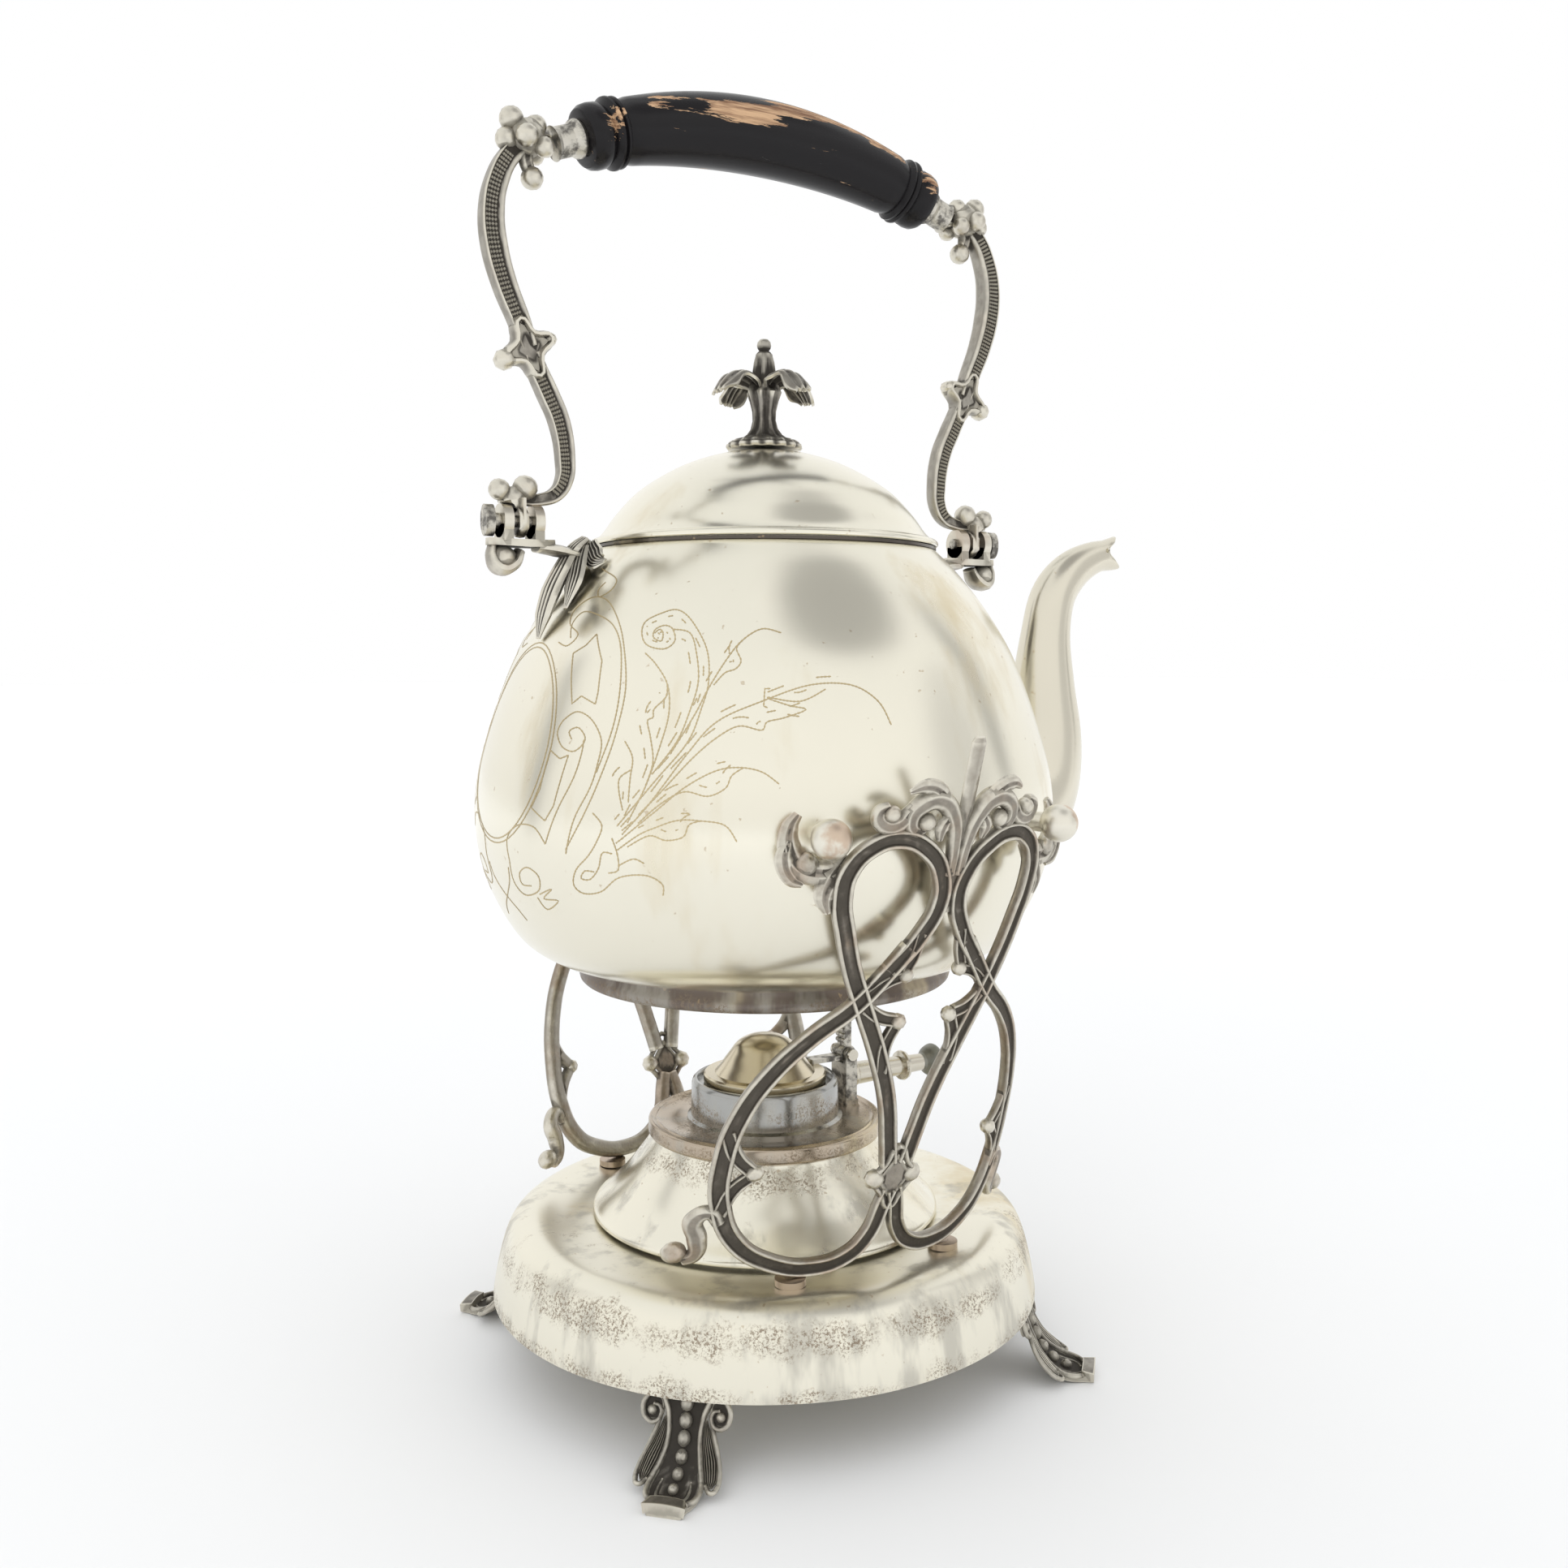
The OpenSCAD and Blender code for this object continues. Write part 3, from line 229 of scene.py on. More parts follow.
by_metal = sky_for("Is Glossy Ray", background((0.95, 0.96, 0.97), 1.18), metal_sky)
by_camera = sky_for("Is Camera Ray", by_metal, background((1, 1, 1)))
sky_out = sky.nodes.new("ShaderNodeOutputWorld")
sky.links.new(by_camera.outputs[0], sky_out.inputs["Surface"])

bpy.ops.mesh.primitive_plane_add(size=30)
floor = bpy.context.active_object
floor.name = "floor"
paper = Finish("grey_white_paper", Roughness=0.9)
paper.paint(paper.blend(paper.rise(paper.distance(), 0.3, 2.2), FLOOR_WHITE, FAR_WHITE), 0.9)
wear(floor, paper)


def card(name, place, size, shade, turn=0.0):
    """A flat grey board with soft edges beside the object that only shows in the metal."""
    bpy.ops.mesh.primitive_plane_add(size=1, location=place)
    board = bpy.context.active_object
    board.name = name
    board.scale = (*size, 1)
    aim(board)
    board.rotation_euler.rotate_axis("Z", turn)
    board.visible_camera = board.visible_shadow = board.visible_diffuse = False
    grey = Finish(name + "_board", Roughness=1.0, Emission_Strength=1.0)
    edge = grey.rise(grey.distance(), 0.30, 0.56)
    grey.link(grey.shader.inputs["Emission Color"], grey.blend(edge, (shade,) * 3, (1, 1, 1)))
    grey.link(grey.shader.inputs["Base Color"], (0, 0, 0))
    wear(board, grey)


card("grey_card", (0.30, -0.52, 1.35), (1.15, 1.0), 0.45)
card("lid_card", (0.16, 0.36, 1.5), (0.85, 0.14), 0.35, -0.6)
card("right_card", (1.25, -0.95, 0.5), (0.9, 1.4), 0.72)
card("tall_card", (1.15, -0.28, 0.7), (0.24, 1.3), 0.35)
card("left_card", (-0.95, 0.70, 0.45), (0.22, 1.0), 0.35)


# Kettle body: raised and spun from one sheet, plated, with a wide belly and a straight mouth.
# The silver is warm with age, with faint dents and brown runs of tarnish.
SHEET = 1.2
FOOT_Z, MOUTH_Z, FOOT_R = 121.0, 241.0, 52.0
DENTS = (0.10, 26, 3)
BELLY = [(55.2, FOOT_Z), (64.2, 123.4), (72.8, 129.4), (79.8, 140.8), (84, 153.1), (85.2, 165),
         (84.1, 176.8), (81.1, 188.6), (77.1, 200.5), (72, 212.5), (64.7, 224.4), (57, 234.2),
         (50.4, MOUTH_Z)]


def smooth(points, steps):
    """A round curve through the points, with that many steps between each two."""
    ends = [points[0], *points, points[-1]]
    curve = []
    for a, b, c, d in zip(ends, ends[1:], ends[2:], ends[3:]):
        for k in range(steps):
            t = k / steps
            curve.append(tuple(
                0.5 * (2 * q + (r - p) * t + (2 * p - 5 * q + 4 * r - s) * t * t
                       + (3 * q - p - 3 * r + s) * t ** 3)
                for p, q, r, s in zip(a, b, c, d)))
    return curve + [tuple(points[-1])]


def walled(curve, thickness):
    """A closed outline: the curve, and back along its copy moved in by the thickness."""
    inner = []
    for i, (r, z) in enumerate(curve):
        a, b = curve[max(i - 1, 0)], curve[min(i + 1, len(curve) - 1)]
        length = math.hypot(b[0] - a[0], b[1] - a[1])
        inner.append((r - thickness * (b[1] - a[1]) / length,
                      z + thickness * (b[0] - a[0]) / length))
    return curve + inner[::-1] + [curve[0]]


def lathe(name, outline, steps=144, sharp=34):
    """Turns an outline of (radius, height) in millimetres round the kettle's axis."""
    bpy.ops.mesh.primitive_plane_add(size=MM)
    piece = bpy.context.active_object
    piece.name = name
    bpy.ops.object.mode_set(mode="EDIT")
    bpy.ops.mesh.merge(type="CENTER")
    r0, z0 = outline[0]
    bpy.ops.transform.translate(value=(r0 * MM, 0, z0 * MM))
    for (r0, z0), (r1, z1) in zip(outline, outline[1:]):
        bpy.ops.mesh.extrude_region_move(
            TRANSFORM_OT_translate={"value": ((r1 - r0) * MM, 0, (z1 - z0) * MM)})
    bpy.ops.mesh.select_all(action="SELECT")
    bpy.ops.mesh.spin(steps=steps, angle=2 * math.pi, center=(0, 0, 0), axis=(0, 0, 1))
    bpy.ops.mesh.select_all(action="SELECT")
    bpy.ops.mesh.remove_doubles(threshold=0.01 * MM)
    bpy.ops.mesh.normals_make_consistent(inside=False)
    bpy.ops.object.mode_set(mode="OBJECT")
    bpy.ops.object.shade_smooth_by_angle(angle=math.radians(sharp))
    return piece


def dent(piece, depth, size, seed):
    """Moves the skin in and out a little, as hand work and use leave it, in millimetres."""
    for vertex in piece.data.vertices:
        lump = noise.noise(vertex.co / (size * MM) + Vector((seed, 0, 0)))
        out = Vector((vertex.co.x, vertex.co.y, 0)).normalized()
        vertex.co += out * lump * depth * MM


def old_silver(name, tarnish=0.5, pits=(), tone=(0.88, 0.843, 0.72), rough=0.17):
    """Polished plate of one tone, finely scratched, with stains of tarnish. pits are bands of
    (height, reach) in millimetres, where the plate is pitted and brown."""
    silver = Finish(name, metallic=1.0)
    cloud = silver.noise(22, 4)
    stain = silver.rise(silver.noise(20, 5, 0.6, silver.stretched(1, 1, 0.22)), 0.55, 0.70)
    dots = silver.rise(silver.noise(420, 2), 0.70, 0.76)
    colour = silver.blend(cloud, tone, tuple(part * 0.93 for part in tone))
    colour = silver.blend(stain * tarnish, colour, (0.70, 0.60, 0.40))
    colour = silver.blend(dots * 0.5, colour, (0.48, 0.36, 0.22))
    rough = rough + cloud * 0.10 + stain * 0.10
    if pits:
        z = silver.height()
        band = 0.0
        for at, reach in pits:
            band = silver.rise(z, (at - reach) * MM, at * MM) * silver.rise(
                z, (at + reach) * MM, at * MM) + band
        patch = silver.rise(silver.noise(60, 6, 0.72) + band * 0.21, 0.60, 0.76)
        grain = silver.rise(silver.noise(1300, 4, 0.8), 0.47, 0.58)
        smear = silver.rise(silver.noise(85, 4, 0.6, silver.stretched(1, 1, 0.22))
                            + band * 0.06, 0.52, 0.70)
        colour = silver.blend(smear * 0.6, colour, (0.45, 0.43, 0.38))
        colour = silver.blend(patch * grain * 0.85, colour, (0.33, 0.26, 0.19))
        rough = rough + patch * grain * 0.35 + smear * 0.08
    scratch = silver.noise(240, 3, 0.6, silver.stretched(1, 1, 0.06)) + silver.noise(
        300, 3, 0.6, silver.stretched(0.08, 1, 1)) * 0.6
    silver.paint(colour, rough)
    silver.bump(scratch + dots * -0.6, 0.00003, 0.35)
    return silver


def stand_in(piece, finish, node, body):
    """Finishes a piece that stands for a node and rides on a body."""
    wear(piece, finish)
    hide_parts(node)
    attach(piece, body)


body_silver = old_silver("body_silver", 0.75)
body_curve = smooth(BELLY, 6)
inside_wall = walled(body_curve, SHEET)[len(body_curve):-1]
inside_floor = [(FOOT_R + 1, FOOT_Z + SHEET), (0, FOOT_Z + SHEET), (0, FOOT_Z), (FOOT_R, FOOT_Z)]
kettle_body = lathe("kettle_body_skin", [(FOOT_R, FOOT_Z)] + body_curve + inside_wall
                    + inside_floor, 180)
dent(kettle_body, *DENTS)
stand_in(kettle_body, body_silver, "kettle_body", "kettle")


def body_radius(z):
    """Radius of the body's outside at a height, in millimetres."""
    for (r0, z0), (r1, z1) in zip(body_curve, body_curve[1:]):
        if z0 <= z <= z1:
            return r0 + (r1 - r0) * (z - z0) / (z1 - z0)
    return body_curve[-1][0]


# Engraving: the real lines are cut with a rocking tool, as a fine zigzag that shows tan. Here they
# are thin ribbons on the skin. An oval is left bare at the tail, held by straps and scrolls, with
# a spray of long leaves over each flank.
LINE_LIFT, LINE_THICK = 0.05, 0.05
ZIGZAG_STEP, ZIGZAG_NARROW, ZIGZAG_WIDE = 0.5, 0.10, 0.23
DEGREE_RUN = 1.45  # Millimetres along the belly in one degree.


def on_belly(turn, z):
    """Place of a line on the body and the way out there, turn degrees from the tail."""
    turn, r = math.radians(turn), body_radius(z)
    slope = body_radius(min(z + 0.5, MOUTH_Z - 0.1)) - body_radius(z - 0.5)
    out = Vector((-math.cos(turn), -math.sin(turn), -slope)).normalized()
    return Vector((-r * math.cos(turn), -r * math.sin(turn), z)) + out * LINE_LIFT, out


def beside(path, gap):
    """A line beside a path, gap millimetres to the right of its travel."""
    edge = []
    for k, (turn, z) in enumerate(path):
        a, b = path[max(k - 1, 0)], path[min(k + 1, len(path) - 1)]
        run, rise = (b[0] - a[0]) * DEGREE_RUN, b[1] - a[1]
        width = gap / max(math.hypot(run, rise), 0.01)
        edge.append((turn + width * rise / DEGREE_RUN, z - width * run))
    return edge


def dashes(path, on=4, off=3):
    """Short pieces of a path, with gaps between them."""
    return [path[k:k + on] for k in range(on, len(path) - on, on + off)]


def zigzag(cut, sign):
    """Places along a cut at equal steps, each with its way out; sign -1 is the far side."""
    line = [on_belly(sign * cut[0][0], cut[0][1])]
    for (turn, z), (next_turn, next_z) in zip(cut, cut[1:]):
        length = math.hypot((next_turn - turn) * DEGREE_RUN, next_z - z)
        count = max(round(length / ZIGZAG_STEP), 1)
        for k in range(1, count + 1):
            line.append(on_belly(sign * (turn + (next_turn - turn) * k / count),
                                 z + (next_z - z) * k / count))
    return line


def thicken(piece, thickness, offset=0):
    """Gives a skin its thickness in its own units: to both sides, or inwards for offset -1."""
    bpy.context.view_layer.objects.active = piece
    skin = piece.modifiers.new("skin", "SOLIDIFY")
    skin.thickness = thickness
    skin.offset = offset
    bpy.ops.object.modifier_apply(modifier="skin")


# Every path is (degrees from the tail, height in millimetres), and is cut on both sides.
OVAL_Z, OVAL_HALF_DEGREES, OVAL_HALF_HEIGHT = 187, 17, 27
oval = [(OVAL_HALF_DEGREES * math.sin(math.tau * k / 48),
         OVAL_Z + OVAL_HALF_HEIGHT * math.cos(math.tau * k / 48)) for k in range(25)]
straps = [smooth(path, 6) for path in (
    [(9, 214), (13, 213), (15, 216), (10, 219), (9, 223), (14, 226), (21, 224), (28, 216),
     (32, 204), (32, 192), (30, 180), (27, 170), (23, 161)],
    [(13, 215), (11, 219), (13, 222), (19, 221), (25, 218), (29, 212), (31, 202), (31, 192),
     (29, 181)],
    [(18, 192), (19, 194), (22, 196), (26, 194), (29, 189), (29, 183), (28, 177), (25, 169),
     (23, 160)],
    [(22, 189), (21, 191), (23, 192), (25, 190), (25, 188), (23, 186), (20, 187), (18, 190),
     (18, 192)],
    [(25, 189), (25, 185), (24, 179), (21, 171), (18, 162)],
    [(9, 234), (18, 231), (19, 228), (16, 226), (14, 228), (15, 230)],
    [(6, 156), (6, 162), (10, 166), (15, 166), (18, 162)],
    [(6, 156), (6, 150), (9, 147), (14, 149), (15, 153), (12, 155), (9, 153), (9, 150), (12, 150)],
    [(13, 147), (15, 144), (19, 147), (15, 147), (18, 150), (14, 148)],
    [(-5, 154), (-4, 150), (-1, 146), (3, 142), (5, 139)],
    [(29, 171), (31, 168), (30, 164), (28, 160), (25, 156), (24, 152), (26, 150), (30, 151),
     (34, 155), (39, 156), (42, 154), (42, 151)],
    [(33, 161), (31, 161), (30, 157), (28, 154), (26, 154), (27, 156), (29, 156)],
    [(33, 165), (34, 161), (34, 157), (32, 156)], [(34, 158), (37, 160), (39, 159)])]
windows = [[(16, 211), (19, 213), (21, 216), (25, 209), (26, 201), (26, 198), (22, 200),
            (20, 198), (18, 204), (16, 211)],
           [(17, 186), (20, 184), (22, 185), (21, 178), (20, 172), (18, 168), (14, 171),
            (16, 176), (17, 186)]]
long_leaves = [
    ([(55, 165), (53, 169), (49, 170), (45, 170), (41, 168), (38, 166), (34, 162)],
     [(49, 170), (47, 169), (46, 166), (43, 165), (40, 166), (36, 163)]),
    ([(62, 179), (59, 182), (55, 183), (51, 182), (46, 178), (41, 172), (35, 165)],
     [(56, 183), (54, 181), (53, 178), (50, 176), (46, 177), (42, 174), (38, 169)]),
    ([(83, 193), (81, 199), (76, 203), (68, 203), (59, 199), (51, 194), (46, 186), (40, 174),
      (35, 166)],
     [(71, 202), (66, 199), (60, 200), (64, 198), (67, 197), (63, 195), (60, 194), (59, 192),
      (55, 193), (51, 190), (47, 185), (42, 177), (38, 171)]),
    ([(63, 216), (59, 217), (55, 214), (52, 209), (49, 202), (47, 196), (43, 186)],
     [(55, 214), (54, 212), (55, 209), (54, 207), (52, 206), (50, 203)]),
    ([(35, 211), (38, 208), (41, 203), (42, 196), (41, 188), (39, 178), (36, 169)],
     [(41, 203), (41, 200), (39, 197), (39, 195), (38, 194), (39, 190), (40, 184), (39, 178)]),
    ([(34, 189), (36, 185), (36, 180), (36, 174)], [(36, 182), (34, 180), (34, 177), (35, 172)]),
    ([(36, 216), (37, 217), (38, 216), (38, 214), (36, 215), (36, 217), (38, 218), (40, 217),
      (41, 214), (39, 212), (35, 213), (33, 216), (33, 219), (36, 221), (40, 222), (44, 219),
      (48, 212), (49, 204), (48, 197), (46, 189), (41, 180), (37, 173), (34, 168)],
     [(40, 217), (44, 216), (46, 211), (47, 204), (46, 197), (44, 189), (40, 181)])]
inner_oval = [(turn * 0.94, OVAL_Z + (z - OVAL_Z) * 0.955) for turn, z in oval]
cuts = [oval, inner_oval] + straps + windows
for upper, lower in long_leaves:
    upper, lower = smooth(upper, 6), smooth(lower, 6)
    cuts += [upper, lower] + dashes(beside(lower, 2.2)[:-6]) + dashes(beside(upper, 1.6)[12:], 3)
points, faces = [], []
for cut in cuts:
    for sign in (1, -1):
        line = zigzag(cut, sign)
        for k, (place, out) in enumerate(line):
            way = line[min(k + 1, len(line) - 1)][0] - line[max(k - 1, 0)][0]
            aside = way.cross(out).normalized() * (ZIGZAG_WIDE if k % 2 else ZIGZAG_NARROW)
            if k:
                count = len(points)
                faces.append((count - 2, count, count + 1, count - 1))
            points += [(place - aside) * MM, (place + aside) * MM]
mesh = bpy.data.meshes.new("kettle_engraving")
mesh.from_pydata(points, [], faces)
engraving = bpy.data.objects.new("kettle_engraving", mesh)
bpy.context.collection.objects.link(engraving)
dent(engraving, *DENTS)
thicken(engraving, LINE_THICK * MM)
cut_tan = Finish("engraved_tan", metallic=1.0)
cut_tan.paint(cut_tan.blend(cut_tan.noise(60, 4), (0.46, 0.36, 0.20), (0.64, 0.54, 0.34)), 0.4)
wear(engraving, cut_tan)
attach(engraving, "kettle")


# Foot ring and mouth collar: rings soldered under the body and inside its mouth. The foot ring
# is worn brown, and the collar is dark, where no cloth reaches it.
worn_ring = old_silver("foot_ring_silver", 1.0, [(116, 5)], (0.17, 0.14, 0.12), 0.3)
foot_ring = lathe("kettle_foot_ring_skin", [
    (50.6, 115.8), (51, 115.2), (54.7, 115.2), (55.3, 115.8), (55.6, 116.9), (55.4, 118),
    (54.7, 119), (54.4, 120.9), (52.6, 120.9), (51.6, 118.2), (50.6, 115.8)])
stand_in(foot_ring, worn_ring, "kettle_foot_ring", "kettle")
collar_silver = old_silver("collar_silver", 1.0, [], (0.12, 0.105, 0.09))
wear(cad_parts["kettle_collar"], collar_silver)


# Lid: spun dome with a rolled edge and an inner flange that drops into the mouth.
LID_Z, LID_TOP, LID_R = 242.2, 270.8, 51.2
FLANGE_Z, FLANGE_R, FLANGE_IN = 237.0, 46.4, 45.4
dome = smooth([(49.2, 244.3), (47.2, 246.4), (43.3, 251.7), (36.4, 258.6), (24.6, 265.5),
               (12.3, 269.5), (2.1, LID_TOP)], 6)
lid_rim = [(FLANGE_R, LID_Z), (50.7, LID_Z), (51.1, 242.5), (LID_R, 242.9), (51.1, 243.4),
           (50.6, 243.9), (49.7, 244.1)]
dome_inside = walled(dome, SHEET)[len(dome):-3]
lid_outline = [(FLANGE_IN, FLANGE_Z), (FLANGE_R, FLANGE_Z)] + lid_rim + dome + dome_inside + [
    (FLANGE_IN, 243.8), (FLANGE_IN, FLANGE_Z)]
lid = lathe("lid_dome_skin", lid_outline, 180)
dent(lid, 0.08, 20, 11)
stand_in(lid, old_silver("lid_silver", 0.6), "lid_dome", "lid")


# Plinth and lamp socket: spun sheet. The plinth's skirt is turned down over the feet, and its
# plating is pitted round the shoulder and along the lower edge.
plinth_silver = old_silver("plinth_silver", 0.8, [(22, 5), (36, 8)], rough=0.25)
skirt = smooth([(82, 21), (81.8, 23), (80.6, 29.9), (78.9, 36.5), (77, 40.5), (74.1, 42.9),
                (69.8, 44), (60.4, 43.4), (46, 43.2)], 6)
plinth = lathe("plinth_skin", walled(skirt, SHEET), 180)
dent(plinth, 0.18, 24, 5)
stand_in(plinth, plinth_silver, "plinth", "stand")

SOCKET_SHEET = 0.96
bell = smooth([(46.4, 43.9), (51.6, 44), (52.2, 45), (51.4, 46.2), (48.2, 49), (44.1, 53.1),
               (40, 58.2), (36.4, 63), (34.1, 66.3), (33.2, 68.9), (32.8, 69.4), (30.6, 69.45)], 4)
socket = lathe("lamp_socket_skin", walled(bell, SOCKET_SHEET), 160)
dent(socket, 0.10, 20, 8)
socket_silver = old_silver("socket_silver", 0.5, [(63, 7)])
stand_in(socket, socket_silver, "lamp_socket", "stand")


# Lamp: a dished tray with a rolled rim over the socket's neck, a straight burner cup on it, and
# the snuffer, a bell with a flat flange that covers the wick.
lamp_silver = old_silver("lamp_silver", 1.0, [(69, 4)], (0.50, 0.42, 0.33), 0.16)
cup_silver = old_silver("cup_silver", 0.6, [(77, 9)], (0.40, 0.40, 0.385), 0.13)
ROLL_R, ROLL_LOW, ROLL_HIGH = 34.4, 67.9, 70.7
roll = [(ROLL_R + math.cos(math.radians(a)),
         (ROLL_LOW if a < 0 else ROLL_HIGH) + math.sin(math.radians(a)))
        for a in range(-70, 91, 16)]
tray = lathe("lamp_tray_skin", [(6.7, 69.8), (33.7, 69.8), (33.9, 66.9)] + roll + [
    (33.6, 71.3), (33.2, 71.2), (32.7, 71.5), (32.2, 71.2), (31.6, 70.85), (27, 70.8),
    (6.7, 70.8), (6.7, 69.8)])
cup = lathe("burner_cup_skin", [
    (23.6, 70.8), (23.6, 71.6), (22.5, 72.3), (22.2, 81.6), (21.9, 82.6), (21.3, 83.2),
    (20.6, 83.1), (20.2, 82.4), (20.1, 81.6), (6.7, 81.6), (6.7, 80.6), (20, 80.6), (21, 79.4),
    (21, 70.8), (23.6, 70.8)])
stand_in(tray, lamp_silver, "lamp_tray", "lamp")
stand_in(cup, cup_silver, "burner_cup", "lamp")
SNUFFER_SHEET = 0.9
bell_top = smooth([(15.2, 84.8), (13.4, 87.1), (10.9, 90.5), (8.4, 93.7), (5.3, 95.5),
                   (2.3, 96.2), (0, 96.3)], 5)
snuffer = lathe("snuffer_cap_skin", [(17.6, 81.9), (18.6, 82.3), (18.6, 84.3), (18.1, 84.8)]
                + bell_top + walled(bell_top, SNUFFER_SHEET)[len(bell_top) + 1:-1]
                + [(17.6, 83.9), (17.6, 81.9)])
snuffer_silver = old_silver("snuffer_silver", 1.0, [], (0.72, 0.64, 0.48))
stand_in(snuffer, snuffer_silver, "snuffer_cap", "snuffer")


# Spout: drawn and soldered tube that swells out of the body, narrows upwards and turns over at
# its lip, which is cut in a V.
spout_silver = old_silver("spout_silver", 1.0, [], (0.76, 0.715, 0.60))
SPOUT_SHEET, SPOUT_SUNK = 1.3, 0.3
SEAM_LOW, SEAM_HIGH = FOOT_Z + 4, MOUTH_Z - 3
LIP_X, LIP_Z, LIP_REACH, LIP_SPREAD = 134, 245, 6, 0.25
NOTCH_Z, NOTCH_HALF, NOTCH_DEPTH = 246.2, 4.2, 7
SPOUT_LINE = smooth([
    (76.2, 157, 20.5), (91.2, 158, 19), (101, 163, 17.5), (106.5, 171, 15.5),
    (108.7, 184, 13.8), (108.5, 200, 11.4), (109.2, 217, 8.9), (112, 230, 8),
    (119, 238.5, 7), (129, 243.8, 5.6), (139.8, 246, 4.6)], 6)


def tube(name, line, section):
    """Sweeps a ring along a line of (x, z, radius) in the plane of the spout, in millimetres."""
    bpy.ops.curve.primitive_bezier_circle_add(radius=1)
    ring = bpy.context.active_object
    ring.data.resolution_u = 10
    ring.scale = section
    bpy.ops.object.transform_apply(location=False, rotation=False)
    bpy.ops.curve.primitive_bezier_curve_add()
    pipe = bpy.context.active_object
    pipe.name = name
    spline = pipe.data.splines[0]
    spline.type = "POLY"
    spline.points.add(len(line) - len(spline.points))
    for knot, (x, z, r) in zip(spline.points, line):
        knot.co = (x, z, 0, 1)
        knot.radius = r
    pipe.data.twist_mode = "Z_UP"
    pipe.data.bevel_mode = "OBJECT"
    pipe.data.bevel_object = ring
    bpy.ops.object.convert(target="MESH")
    bpy.data.objects.remove(ring)
    for vertex in pipe.data.vertices:
        x, z, y = vertex.co
        vertex.co = (x * MM, y * MM, z * MM)
    return pipe


spout = tube("spout_skin", SPOUT_LINE, (1, 0.84, 1))
bpy.ops.object.mode_set(mode="EDIT")
bpy.ops.mesh.select_all(action="SELECT")
bpy.ops.mesh.remove_doubles(threshold=0.01 * MM)
bpy.ops.mesh.normals_make_consistent(inside=False)
bpy.ops.object.mode_set(mode="OBJECT")
for vertex in spout.data.vertices:
    x, y, z = vertex.co / MM
    skin_x = math.sqrt(max(body_radius(min(max(z, SEAM_LOW), SEAM_HIGH)) ** 2 - y * y, 0))
    skin_x -= SPOUT_SUNK
    if x < skin_x:
        vertex.co.x = skin_x * MM
    if x > LIP_X:
        share = (x - LIP_X) / LIP_REACH
        notch = max(0.0, 1 - abs(z - NOTCH_Z) / NOTCH_HALF)
        vertex.co.x -= notch * NOTCH_DEPTH * share * MM
        vertex.co.z += (z - LIP_Z) * LIP_SPREAD * share * MM
thicken(spout, SPOUT_SHEET * MM, -1)
bpy.ops.object.shade_smooth_by_angle(angle=math.radians(40))
stand_in(spout, spout_silver, "spout", "kettle")


# Side frames: cast tracery of two crossed loops over two round lobes, with cusps, a sunk diamond
# in the middle, leaf scrolls and a spear on top. Each frame is drawn flat, in millimetres, and
# laid in place, where it leans out and follows the belly.
FRAME_LOW, FRAME_HIGH, FRAME_FOOT = 48.05, 166.5, 60.0
DRAWN_LOW, DRAWN_HIGH, DRAWN_HALF, FRAME_HALF = 45.0, 166.5, 45.3, 45.5
BELLY_R, BELLY_GAP = max(r for r, z in BELLY), 10
LEAN = (BELLY_R + BELLY_GAP - FRAME_FOOT) / (FRAME_HIGH - FRAME_LOW)
# Sections of cast bars: raised edges with a sunk band, a scroll, a shell, a leaf and a round bar.
RIDGED = [(-2.5, -0.3), (-2.45, 0.7), (-2.3, 1.25), (-2.0, 1.5), (-1.6, 1.42), (-1.35, 1.0),
          (-1.15, 0.5), (0, 0.35), (1.15, 0.5), (1.35, 1.0), (1.6, 1.42), (2.0, 1.5),
          (2.3, 1.25), (2.45, 0.7), (2.5, -0.3), (2, -1.3), (1, -1.8), (-1, -1.8), (-2, -1.3)]
SCROLL = [(-1.7, 0), (-1.45, 0.9), (-0.8, 1.35), (0, 1.15), (0.8, 1.35), (1.45, 0.9), (1.7, 0),
          (1.2, -1.2), (0, -1.6), (-1.2, -1.2)]
SHELL = [(-2.3, 0), (-1.8, 0.9), (-0.8, 1.3), (0, 0.95), (0.8, 1.3), (1.8, 0.9), (2.3, 0),
         (1.3, -1), (-1.3, -1)]
BLADE = [(-2.1, 0), (-1.7, 0.6), (0, 1.0), (1.7, 0.6), (2.1, 0), (1.7, -0.6), (0, -0.9),
         (-1.7, -0.6)]
ROUND = [(math.cos(k * math.pi / 5), math.sin(k * math.pi / 5)) for k in range(10)]


def section(outline):
    """A closed flat curve, the section of a bar."""
    bpy.ops.curve.primitive_bezier_curve_add()
    ring = bpy.context.active_object
    ring.data.dimensions = "2D"
    spline = ring.data.splines[0]
    spline.type = "POLY"
    spline.points.add(len(outline) - len(spline.points))
    for knot, (x, y) in zip(spline.points, outline):
        knot.co = (x, y, 0, 1)
    spline.use_cyclic_u = True
    return ring


def cast_bar(path, outline, steps=6, closed=False):
    """A bar swept along a flat path of (x, y, size) or (x, y, size, lift), in millimetres."""
    ring = section(outline)
    bpy.ops.curve.primitive_bezier_curve_add()
    bar = bpy.context.active_object
    spline = bar.data.splines[0]
    spline.bezier_points.add(len(path) - len(spline.bezier_points))
    for knot, place in zip(spline.bezier_points, path):
        knot.co = (place[0], place[1], place[3] if len(place) > 3 else 0)
        knot.radius = place[2]
        knot.handle_left_type = knot.handle_right_type = "AUTO"
    spline.use_cyclic_u = closed
    bar.data.twist_mode = "Z_UP"
    bar.data.resolution_u = steps
    bar.data.bevel_mode = "OBJECT"
    bar.data.bevel_object = ring
    bar.data.use_fill_caps = True
    bpy.ops.object.convert(target="MESH")
    bpy.data.objects.remove(ring)
    return bar


